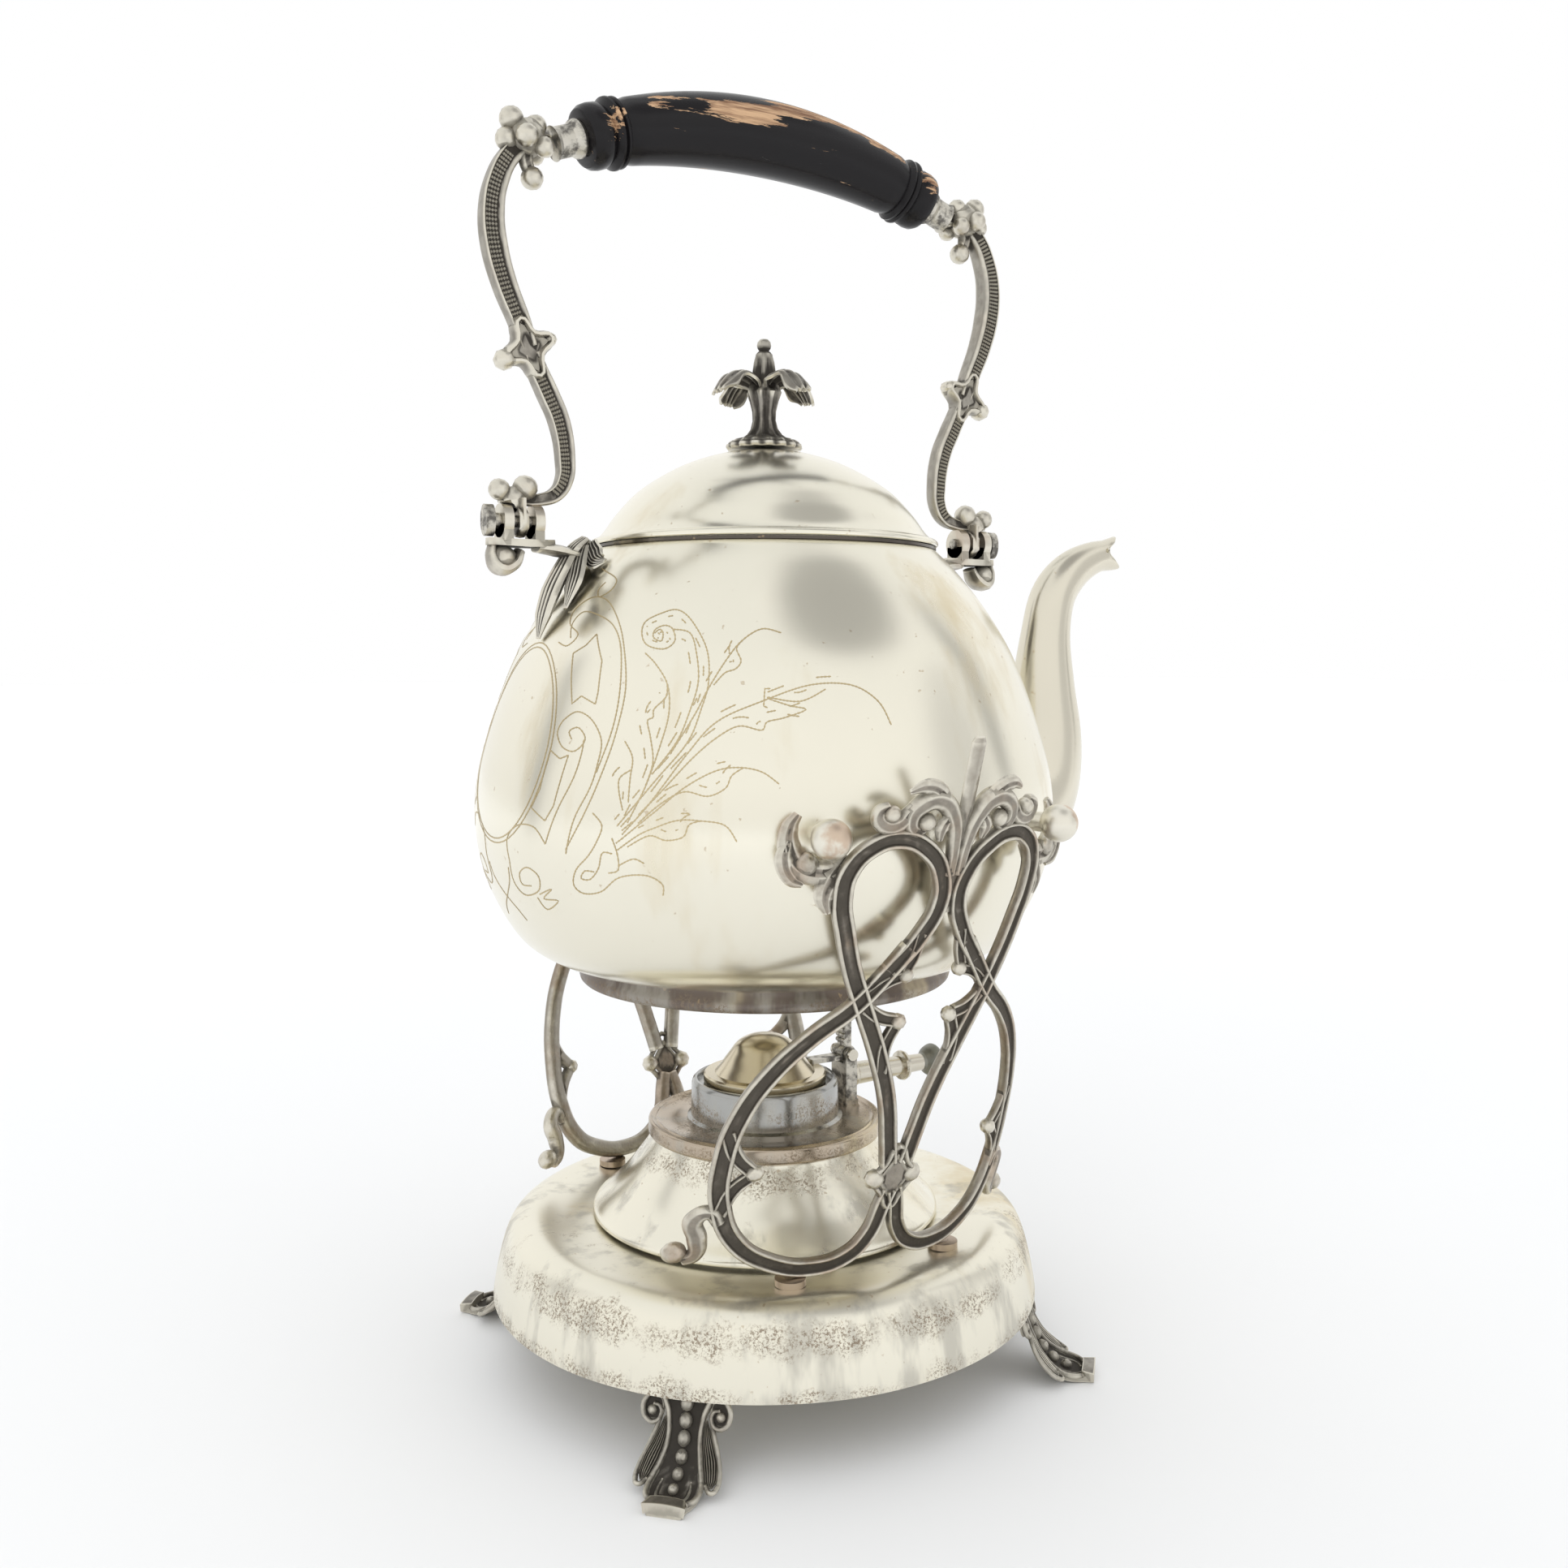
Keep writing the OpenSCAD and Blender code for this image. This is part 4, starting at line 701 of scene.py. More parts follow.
def sheet(cells, where, thickness):
    """A thin plate: where gives the place in millimetres for two shares from -1 to 1."""
    bpy.ops.mesh.primitive_grid_add(x_subdivisions=cells[0], y_subdivisions=cells[1], size=2)
    plate = bpy.context.active_object
    for vertex in plate.data.vertices:
        vertex.co = Vector(where(vertex.co.x, vertex.co.y))
    thicken(plate, thickness)
    return plate


def knob(place, radius, flat=1.0, sides=8):
    """A small round or faceted knob, in millimetres."""
    bpy.ops.mesh.primitive_uv_sphere_add(segments=sides, ring_count=6, radius=radius,
                                         location=place, scale=(1, 1, flat))
    return bpy.context.active_object


def pick(pieces):
    """Selects these pieces only, with the first of them active."""
    bpy.ops.object.select_all(action="DESELECT")
    for piece in pieces:
        piece.select_set(True)
    bpy.context.view_layer.objects.active = pieces[0]


def gathered(name, parts):
    """Joins the parts of a casting, and closes their seams."""
    pick(parts)
    bpy.ops.object.join()
    piece = bpy.context.active_object
    bpy.ops.object.transform_apply()
    piece.name = name
    bpy.ops.object.mode_set(mode="EDIT")
    bpy.ops.mesh.select_all(action="SELECT")
    bpy.ops.mesh.remove_doubles(threshold=0.002)
    bpy.ops.mesh.normals_make_consistent(inside=False)
    bpy.ops.object.mode_set(mode="OBJECT")
    return piece


def mirrored(piece, axis):
    """A copy on the other side of the plane through the origin across that axis (0 is X)."""
    twin = piece.copy()
    twin.data = piece.data.copy()
    bpy.context.collection.objects.link(twin)
    for vertex in twin.data.vertices:
        vertex.co[axis] *= -1
    twin.data.flip_normals()
    return twin


def lay(piece, where=lambda *place: place):
    """Moves each point from the flat drawing to its real place, and from millimetres to metres."""
    for vertex in piece.data.vertices:
        vertex.co = Vector(where(*vertex.co)) * MM


def fan():
    """Directions that look outwards from a point, in three rings round +Z."""
    rings = ((0.45, 4), (0.95, 6), (1.3, 6))
    looks = [(tilt, math.tau * k / count + tilt) for tilt, count in rings for k in range(count)]
    return [Vector((math.sin(tilt) * math.cos(turn), math.sin(tilt) * math.sin(turn),
                    math.cos(tilt))) for tilt, turn in looks]


FAN = fan()
HOLLOW_REACH, HOLLOW_START = 3.0, 0.08


def hollows(piece):
    """Stores at each point how much of the view outwards the piece itself blocks, as ambient
    occlusion
    does, and how sharply it stands out: for the painted shade in the hollows and the worn edges."""
    mesh = piece.data
    tree = BVHTree.FromPolygons([v.co for v in mesh.vertices],
                                [p.vertices for p in mesh.polygons])
    occlusion, ridge = [], [0.0] * len(mesh.vertices)
    count = [0] * len(mesh.vertices)
    for edge in mesh.edges:
        a, b = (mesh.vertices[i] for i in edge.vertices)
        way = (b.co - a.co).normalized()
        ridge[a.index] -= a.normal.dot(way)
        ridge[b.index] += b.normal.dot(way)
        count[a.index] += 1
        count[b.index] += 1
    # Occlusion: the share of short rays that hit the piece itself; cast_silver paints it as shade.
    for vertex in mesh.vertices:
        turn = vertex.normal.to_track_quat("Z", "Y")
        start = vertex.co + vertex.normal * HOLLOW_START * MM
        hits = sum(tree.ray_cast(start, turn @ look, HOLLOW_REACH * MM)[0] is not None
                   for look in FAN)
        occlusion.append(hits / len(FAN))
    mesh.attributes.new("hollow", "FLOAT", "POINT").data.foreach_set("value", occlusion)
    mesh.attributes.new("ridge", "FLOAT", "POINT").data.foreach_set(
        "value", [r / max(n, 1) for r, n in zip(ridge, count)])


def cast_silver(name, dark=0.5, brown=0.4, stipple=0.0, depth=(0.085, 0.077, 0.067),
                tone=(0.44, 0.415, 0.365)):
    """Cast and plated metal of one tone, with painted shade in its hollows in the colour depth and
    its ridges bright or worn brown. dark widens the painted shade in the hollows, and stipple
    roughens the skin."""
    cast = Finish(name, metallic=1.0)
    cloud = cast.noise(240, 4, 0.6)
    patch = cast.noise(70, 4)
    raised = cast.rise(cast.attribute("ridge") + (cloud - 0.5) * 0.3, 0.04, 0.27)
    occlusion = cast.rise(cast.attribute("hollow") + (cloud - 0.5) * 0.2 + (dark - 0.5) * 0.3,
                     0.05, 0.30)
    colour = cast.blend(cast.rise(patch, 0.48, 0.66) * brown, tone,
                        (tone[0] * 0.8, tone[1] * 0.66, tone[2] * 0.54))
    film = cast.rise(cloud, 0.35, 0.65) * 0.4 + dark * 0.4
    colour = cast.blend(film, colour, (0.17, 0.155, 0.135))
    # Painted shade: where the casting blocks its own view outwards, the colour goes to depth, as
    # ambient occlusion would darken it.
    colour = cast.blend(occlusion, colour, depth)
    colour = cast.blend(raised * (0.9 - occlusion * 0.3), colour, cast.blend(
        cast.rise(patch, 0.52, 0.68) * brown, (0.76, 0.72, 0.62), (0.54, 0.42, 0.32)))
    cast.paint(colour, 0.34 + occlusion * 0.30 + cloud * 0.14 - raised * 0.10)
    cast.bump(cloud + cast.cells(1100) * (0.3 + stipple), 0.0001, 0.4 + stipple * 0.3)
    return cast


def set_casting(piece, finish, node, body):
    """Finishes a casting that stands for a node and rides on a body."""
    pick([piece])
    bpy.ops.object.shade_smooth_by_angle(angle=math.radians(50))
    hollows(piece)
    stand_in(piece, finish, node, body)


def set_pair(piece, axis, finish, nodes, body):
    """Finishes a casting and its mirrored twin, each for its own node."""
    for casting, node in zip((piece, mirrored(piece, axis)), nodes):
        casting.name = node + "_casting"
        set_casting(casting, finish, node, body)


def on_frame(x, y, lift):
    """Place of a point of the flat drawing on the near frame."""
    x = x * FRAME_HALF / DRAWN_HALF
    z = FRAME_LOW + (y - DRAWN_LOW) * (FRAME_HIGH - FRAME_LOW) / (DRAWN_HIGH - DRAWN_LOW)
    bow = math.sqrt(BELLY_R ** 2 - x * x)
    out = Vector((x / bow, -1, -LEAN)).normalized()
    return Vector((x, -(FRAME_FOOT + LEAN * (z - FRAME_LOW) - BELLY_R + bow), z)) + out * lift


upper_loop = [(2.6, 74), (4.2, 82), (6.9, 93.6), (11.8, 106.6), (19, 122.4), (23.1, 131.8),
              (26.4, 142), (28.6, 151), (28, 158.5), (24, 164), (17, 166.3), (9, 163),
              (4, 156.5), (2.8, 149), (6.4, 140.4), (13.6, 131)]
lower_lobe = [(9, 137.2), (14.2, 130.2), (21, 122), (30.6, 113.4), (38, 103.8), (43.2, 92),
              (45.4, 79), (44.6, 65.5), (39.6, 54), (31, 47.7), (20, 45), (10, 47.2),
              (4.6, 53), (2, 62), (0.8, 66)]
# Cusps: the two bars of each, and the place and radius of the knob at its tip.
cusps = [
    ([(45.4, 87, 0.7), (42.6, 80, 0.74), (38.6, 75.6, 0.7)],
     [(38.6, 74.6, 0.7), (42.2, 70.4, 0.74), (44.6, 63, 0.7)], (38, 75.1, 0), 2.3),
    ([(10.4, 102, 0.7), (10.6, 110, 0.74), (8.6, 115.6, 0.7)],
     [(9.2, 117, 0.7), (13.4, 118.2, 0.74), (18, 121.4, 0.7)], (8, 116.4, 0), 2.2),
    ([(6.2, 140.6, 0.6), (7, 135, 0.62), (8.6, 130.6, 0.6)],
     [(9.6, 129.2, 0.6), (13.2, 128, 0.62), (17.4, 125, 0.6)], (8.4, 129.4, 0), 2.1),
]
half = [cast_bar([(x, y, 1.0) for x, y in path], RIDGED) for path in (upper_loop, lower_lobe)]
for first_bar, second_bar, tip, radius in cusps:
    half += [cast_bar(first_bar, RIDGED), cast_bar(second_bar, RIDGED), knob(tip, radius, 0.95)]
half += [
    knob((5.9, 69.7, 0), 2.9, 0.8),
    cast_bar([(44.2, 60, 0.9), (47, 63.4, 1.15), (49.8, 61, 1.35), (48.6, 55.6, 1.35),
              (48.6, 50.6, 1.15), (51.2, 49, 1.1)], SCROLL, 8),
    knob((53, 51, 0.2), 2.8, 1, 14),
    cast_bar([(1.4, 156, 0.9), (1.8, 164, 1.1), (3.8, 171.4, 1.4), (8, 175.8, 1.6),
              (12.8, 175, 1.5), (15.2, 171, 1.25), (13.2, 168.2, 1.0), (10.6, 169.4, 0.8)],
             SCROLL, 8),
    knob((11, 170.4, 0.3), 2.4, 1, 12),
    cast_bar([(12.6, 177, 0.5), (15.4, 173.6, 1), (18.4, 170.2, 1.35), (22, 170.2, 1.3),
              (23.4, 173.2, 1.05), (21, 174.6, 0.8)], SCROLL, 8),
    knob((20.4, 172.8, 0.4), 2.2, 1, 12),
    cast_bar([(6, 174, 0.7), (8.8, 178, 1.0, 0.5), (13, 179.6, 0.9, 0.7), (17, 178.2, 0.3, 0.6)],
             SHELL, 8),
    cast_bar([(4.6, 172, 0.6, 0.6), (6.6, 169, 0.9, 0.7), (6.4, 165.4, 0.4, 0.4)], SHELL),
]
side = gathered("frame_half", half)
other_side = mirrored(side, 0)
middle = [
    sheet((6, 6), lambda x, y: (2.6 * (x - y), 69.6 + 3.6 * (x + y), 0.15), 1.4),
    cast_bar([(0, 60.4, 0.8), (3.4, 65, 0.8), (6, 69.6, 0.8), (3.4, 74.2, 0.8), (0, 79, 0.8),
              (-3.4, 74.2, 0.8), (-6, 69.6, 0.8), (-3.4, 65, 0.8)],
             [(x, 1.3 * y + 0.5) for x, y in ROUND], 4, True),
    cast_bar([(0, 146, 0.7), (0, 156, 0.8), (0, 168, 0.95), (0, 180, 1.05), (0, 190, 1.0),
              (0, 191.4, 0.7)], BLADE),
]
near_frame = gathered("frame_casting", [side, other_side] + middle)
lay(near_frame, on_frame)

# Saddles: leaves of the frame that hook round the shafts and carry them.
SHAFT_Z, SHAFT_X, SHAFT_Y, SADDLE_REACH = 166.9, 35.3, 91.1, 90.3
SHAFT_TURN = math.atan2(SHAFT_Y, SHAFT_X)


def at_saddle(x, y, lift):
    """Place on the near frame's right saddle, for a point drawn round the shaft's end."""
    out = Vector((math.cos(SHAFT_TURN), -math.sin(SHAFT_TURN), 0))
    across = Vector((math.sin(SHAFT_TURN), math.cos(SHAFT_TURN), 0))
    return out * (SADDLE_REACH + lift) + across * x + Vector((0, 0, SHAFT_Z + y))


hook = gathered("saddle", [
    cast_bar([(6.6, 5.4, 0.5), (8.6, 2.4, 0.95), (8.9, -2.4, 1.3), (6.4, -7, 1.55),
              (1, -8.8, 1.45), (-4.4, -7.6, 1.0)], SHELL, 8),
    cast_bar([(9, -1, 0.6, 0.6), (10.2, -5.4, 1.1, 0.8), (8.4, -10, 0.9, 0.6),
              (5.6, -11.6, 0.4, 0.4)], SHELL, 8),
    cast_bar([(-5.6, -5, 1.0), (-1.6, -10.4, 1.5), (0.2, -15, 1.2), (-0.6, -19, 0.4)],
             SHELL, 8),
    knob((4.8, -6.6, 0.8), 3.0, 0.7, 14),
])
lay(hook, at_saddle)
# The fourth value is the colour of the painted shade in the frame's hollows.
frame_finish = cast_silver("frame_casting", 0.55, 0.7, 0.8, (0.14, 0.125, 0.105),
                           (0.42, 0.38, 0.32))
pick([near_frame, hook, mirrored(hook, 0)])
bpy.ops.object.join()
set_pair(near_frame, 1, frame_finish, ("frame_near", "frame_far"), "stand")


# Handle arms: cast in one piece with their hinge plates. A wide band of small beads runs
# between a thin outer edge and a thick inner one, broken by a diamond with a knob.
def beads(places, radius):
    """Many small beads in one mesh, in millimetres."""
    tips = [Vector(tip) for tip in ((1, 0, 0), (0, 1, 0), (-1, 0, 0), (0, -1, 0), (0, 0, 1),
                                    (0, 0, -1))]
    faces = [(0, 1, 4), (1, 2, 4), (2, 3, 4), (3, 0, 4), (1, 0, 5), (2, 1, 5), (3, 2, 5),
             (0, 3, 5)]
    mesh = bpy.data.meshes.new("beads")
    mesh.from_pydata([Vector(place) + tip * radius for place in places for tip in tips], [],
                     [[6 * i + k for k in face] for i in range(len(places)) for face in faces])
    string = bpy.data.objects.new("beads", mesh)
    bpy.context.collection.objects.link(string)
    return string


def upright(x, y, lift):
    """Place of a drawing in the plane of the spout."""
    return (x, -lift, y)


def along(path, pitch):
    """Points along a path at equal steps, each with its direction to the right of travel."""
    spots, left = [], 0.0
    for (x0, y0, size, *_), (x1, y1, *_) in zip(path, path[1:]):
        length = math.hypot(x1 - x0, y1 - y0)
        while left < length and length > 0:
            t = left / length
            spots.append((x0 + (x1 - x0) * t, y0 + (y1 - y0) * t, (y1 - y0) / length,
                          -(x1 - x0) / length, size))
            left += pitch
        left -= length
    return spots


ARM_HALF = [(3.3, 0.6), (3.25, 1.8), (3.05, 2.5), (2.75, 2.65), (2.5, 2.45), (2.35, 2.1),
            (-0.85, 2.1), (-1.2, 2.4), (-1.7, 2.95), (-2.3, 3.1), (-2.9, 2.7), (-3.25, 1.6),
            (-3.3, 0.5)]
ARM = ARM_HALF + [(x, -y) for x, y in ARM_HALF[::-1]]
ARM_LOW = [(82.2, 252.3, 0.36), (76, 252.1, 0.42), (70.5, 252.5, 0.52), (66, 254.3, 0.62),
           (63.5, 258.2, 0.7), (63.1, 263.5, 0.76), (64.7, 273.6, 0.82), (68.3, 281.6, 0.84),
           (71, 287, 0.8), (72.6, 291, 0.72)]
ARM_HIGH = [(73.4, 292.6, 0.72), (75.7, 299, 0.84), (79.7, 308.3, 0.92), (82.4, 317.8, 0.98),
            (83.1, 326.7, 0.96), (81.5, 334.9, 0.9), (77.7, 342, 0.82), (72.1, 346.4, 0.7),
            (66.4, 346.7, 0.6)]
BOSS_EDGE = [(1.15 * x, 3.0 * y) for x, y in ROUND]
BEAD_R, BEAD_PITCH, BEAD_OUT, BEAD_ROWS = 0.5, 1.15, 2.15, (-0.5, 0.4, 1.3, 2.1)
PIN_X, PIN_Z = 76.5, 246.4
LUG_HALF, LUG_TOP = 1.3, 250.5
bead_spots = [spot for path in (ARM_LOW[3:-1], ARM_HIGH[1:-2])
              for spot in along(smooth(path, 8), BEAD_PITCH)]
arm = gathered("arm", [
    cast_bar(ARM_LOW, ARM),
    cast_bar(ARM_HIGH, ARM),
    beads([(x + right_x * row * size, z + right_z * row * size, face * BEAD_OUT * size)
           for x, z, right_x, right_z, size in bead_spots for row in BEAD_ROWS
           for face in (1, -1)], BEAD_R),
    cast_bar([(76.4, 299.6, 1), (77, 293.9, 1), (79.8, 289.2, 1), (74.9, 288.5, 1),
              (70.8, 285.2, 1), (70.2, 290.9, 1), (67.4, 295.6, 1), (72.3, 296.3, 1)],
             BOSS_EDGE, 4, True),
    sheet((4, 4), lambda x, y: (73.6 + 3.9 * x - 1.4 * y, 292.4 + 1.8 * x + 4.2 * y, 0), 3.6),
    knob((80.2, 288.8, 0), 2.9, 1.2, 8),
    knob((67.2, 295.4, 0), 1.9, 1.5, 8),
    *(knob(place, radius, flat, 14) for place, radius, flat in (
        ((82.1, 254.6, 0), 3.0, 1), ((74.8, 255.4, 0), 3.5, 1), ((78.2, 252.2, 0), 3.6, 0.9),
        ((77.2, 351.4, 0), 3.3, 1), ((70.4, 350.6, 0), 3, 1), ((74.6, 346.4, 4.4), 3.1, 1),
        ((74.6, 346.4, -4.4), 3.1, 1), ((69.4, 344.4, 3.6), 2.8, 1),
        ((69.4, 344.4, -3.6), 2.8, 1), ((78.6, 346, 0), 3.1, 1))),
    knob((73, 347.2, 0), 5.2, 1, 16),
    cast_bar([(73, 345, 1.3), (73.4, 341.6, 1.2), (72.4, 338.4, 1)], SCROLL),
    knob((71.6, 337, 0), 3.1, 1, 14),
    cast_bar([(PIN_X, PIN_Z + 0.2, 1), (PIN_X, PIN_Z + 6, 1)],
             [(LUG_HALF * x, 4.5 * y) for x, y in ROUND], 2),
    knob((PIN_X, PIN_Z, 0), 4.4, 1, 20),
])
for vertex in arm.data.vertices:
    if vertex.co.y < LUG_TOP:
        vertex.co.x = min(max(vertex.co.x, PIN_X - LUG_HALF), PIN_X + LUG_HALF)
lay(arm, upright)
arm_finish = cast_silver("arm_casting", 0.32, 0.15, 0.2)
set_pair(arm, 0, arm_finish, ("handle_arm_front", "handle_arm_rear"), "handle")


# Grip: turned from wood and bent, with a collar and two rings at each end, lacquered black. The
# lacquer is rubbed through to brown wood in patches, where a hand holds it.
GRIP_BEND, GRIP_TOP = 168.0, 359.75
GRIP_THIN, GRIP_SWELL, SWELL_DEGREES = 8.6, 1.9, 1.9
# Rubbed patches: place and width along the grip in millimetres, turn and height round it in
# radians, and strength.
RUBBED = [(-16, 9, 1.35, 0.42, 1.0), (-4, 9, 1.2, 0.35, 0.9), (6, 8, 0.85, 0.25, 0.9),
          (20, 14, 0.72, 0.22, 1.1), (38, 9, 0.85, 0.24, 0.9), (-51, 4, 1.4, 0.5, 0.7),
          (55, 4, 1.2, 0.5, 0.9), (-34, 8, 0.9, 0.3, 0.55)]
grip_end = [(0, 58.6), (6.6, 58.6), (7.6, 58.2), (8.4, 57), (8.7, 55.3), (8.6, 53.2),
            (8.1, 52.2), (7.7, 51.6), (8.6, 51), (9.5, 50.3), (9.6, 49.7), (9, 49.2),
            (8.7, 48.9), (9.3, 48.5), (9.4, 47.9), (8.8, 47.4), (8.1, 46.9)]
grip_belly = [(GRIP_THIN + GRIP_SWELL * math.cos(math.radians(s * SWELL_DEGREES)), s)
              for s in range(44, -45, -2)]
other_end = [(r, -s) for r, s in grip_end[::-1]]
grip = lathe("handle_grip_wood", grip_end + grip_belly + other_end, 64)
rubbed = []
for vertex in grip.data.vertices:
    x, y, s = vertex.co / MM
    up = math.atan2(-y, x)
    rubbed.append(sum(
        strength * math.exp(-((s - at) / wide) ** 2 - ((up - turn) / high) ** 2)
        for at, wide, turn, high, strength in RUBBED))
    turn = s / GRIP_BEND
    vertex.co = Vector((
        (GRIP_BEND + x) * math.sin(turn), y,
        GRIP_TOP - GRIP_BEND + (GRIP_BEND + x) * math.cos(turn))) * MM
grip.data.attributes.new("rubbed", "FLOAT", "POINT").data.foreach_set("value", rubbed)
lacquer = Finish("black_lacquered_wood", Specular_IOR_Level=0.22)
fibres = lacquer.noise(420, 5, 0.72, lacquer.stretched(0.10, 1, 1))
worn = lacquer.rise(lacquer.attribute("rubbed") * 0.8 + (fibres - 0.5) * 2.3, 0.38, 0.46)
scuffs = lacquer.rise(lacquer.noise(220, 5, 0.75, lacquer.stretched(0.25, 1, 1)), 0.66, 0.74)
streaks = lacquer.rise(lacquer.noise(650, 4, 0.7, lacquer.stretched(0.05, 1, 1)), 0.36, 0.62)
wood = lacquer.blend(streaks, (0.17, 0.085, 0.045), (0.56, 0.36, 0.21))
colour = lacquer.blend(scuffs * 0.5, (0.009, 0.008, 0.009), (0.10, 0.095, 0.09))
lacquer.paint(lacquer.blend(worn, colour, wood), 0.24 + worn * 0.35 + scuffs * 0.25)
lacquer.bump(worn * -1.0 + fibres * 0.4, 0.00022, 0.5)
stand_in(grip, lacquer, "handle_grip", "handle")


# Brackets of the handle: a small plate with a curled ball under it, on a fan-veined leaf that is
# soldered to the shoulder, and two ears for the pin.
def on_shoulder(u, z, lift):
    """Place on the body for u millimetres sideways of the spout's plane."""
    r = body_radius(min(max(z, FOOT_Z), MOUTH_Z)) + lift * 0.8
    return (math.sqrt(r * r - u * u), u, z + lift * 0.55)


VEINED = [(-2, 0), (-1.75, 0.75), (-1.5, 0.5), (-1.2, 1), (-0.95, 0.65), (-0.6, 1.2),
          (-0.3, 0.85), (0, 1.35), (0.3, 0.85), (0.6, 1.2), (0.95, 0.65), (1.2, 1), (1.5, 0.5),
          (1.75, 0.75), (2, 0), (1, -0.7), (-1, -0.7)]
leaf_parts = [
    cast_bar([(0, 239, 1.2, 6), (0, 236, 1.7, 6.4), (0, 231, 2.1, 5.4), (0, 225.6, 2.3, 4.2),
              (0, 220, 1.9, 2.6), (0, 214.6, 0.5, 0.8)], VEINED, 8),
]
for turn in (1, -1):
    leaf_parts += [
        cast_bar([(turn * 1, 237, 1, 5), (turn * 3.4, 232.5, 1.5, 3.4), (turn * 5.8, 228, 1.5, 2),
                  (turn * 6.6, 222.6, 0.4, 0.8)], VEINED),
        cast_bar([(turn * 1, 238.6, 0.9, 4.4), (turn * 4, 236.6, 1.2, 2.6),
                  (turn * 7.4, 235, 1, 1.4), (turn * 9.4, 235.6, 0.3, 0.8)], VEINED),
    ]
leaf = gathered("bracket_leaf", leaf_parts)
lay(leaf, on_shoulder)
neck = gathered("bracket_neck", [
    cast_bar([(56, 236.4, 1.0), (61, 238, 1.7), (66, 239, 1.9), (72, 239.6, 1.5)],
             [(0.9 * x, 2.3 * y) for x, y in ROUND]),
    cast_bar([(84.4, 240, 0.8), (84.6, 236.8, 1.15), (82.4, 233.8, 1.7), (78.8, 235, 1.6),
              (76.6, 238.6, 1.1)], [(1.2 * x, 2.6 * y) for x, y in ROUND]),
    knob((81.4, 236.4, 0), 3.7, 1.1, 16),
])
lay(neck, upright)
plate = sheet((14, 8), lambda x, y: (76.2 + 9.4 * x, 4.2 * y * math.sqrt(1.02 - x * x * 0.9),
                                     240.5 + 0.35 * x * x), 1.9)
EAR_OFFSET, EAR_THICK = 4.4, 2.7
ears = []
for side_x in (PIN_X - EAR_OFFSET, PIN_X + EAR_OFFSET):
    bpy.ops.mesh.primitive_cylinder_add(vertices=40, radius=4.55, depth=EAR_THICK,
                                        location=(side_x, 0, PIN_Z), rotation=(0, math.pi / 2, 0))
    ears.append(bpy.context.active_object)
    bpy.ops.mesh.primitive_cube_add(size=1, location=(side_x, 0, 243.2),
                                    scale=(EAR_THICK, 7.6, 4.4))
    ears.append(bpy.context.active_object)
lay(plate)
post = gathered("bracket_ears", ears)
lay(post)
pick([leaf, neck, plate, post])
bpy.ops.object.join()
bracket_finish = cast_silver("bracket_casting", 0.5, 0.5, 0.1)
set_pair(leaf, 0, bracket_finish, ("handle_bracket_front", "handle_bracket_rear"), "kettle")


# Feet: cast scrolls, each with two curls under the plinth, two long leaves, and six beads down a
# dark hollow to a plain toe.
FOOT_LONG = 40.0
FOOT_LINE = smooth([(0, 99.8, 1.9), (5.2, 94.8, 2.2), (10.9, 89.3, 3.7), (17.6, 84.3, 8.1),
                    (24.2, 81.3, 14), (29.7, 79.6, 19.2), (34.2, 78.1, 23.4),
                    (FOOT_LONG, 75.9, 29)], 4)
WIDTH = smooth([(0, 4.4), (3, 5), (6, 6.2), (9, 6.8), (14, 5.8), (20, 4.6), (25, 4.6),
                (29, 6), (33, 7), (36, 5), (FOOT_LONG, 4)], 4)


def on_foot(u, v, lift):
    """Place on a foot that points along +X: u across, v up its face from the toe."""
    v = min(max(v, 0), FOOT_LONG - 0.1)
    for (v0, r0, z0), (v1, r1, z1) in zip(FOOT_LINE, FOOT_LINE[1:]):
        if v0 <= v <= v1:
            t = (v - v0) / (v1 - v0)
            length = math.hypot(r1 - r0, z1 - z0)
            return (r0 + (r1 - r0) * t + lift * (z1 - z0) / length, u,
                    max(z0 + (z1 - z0) * t - lift * (r1 - r0) / length, 0))


def half_width(v):
    """Half the foot's width at v up its face."""
    return next((w for at, w in WIDTH if at >= v), 4.0)


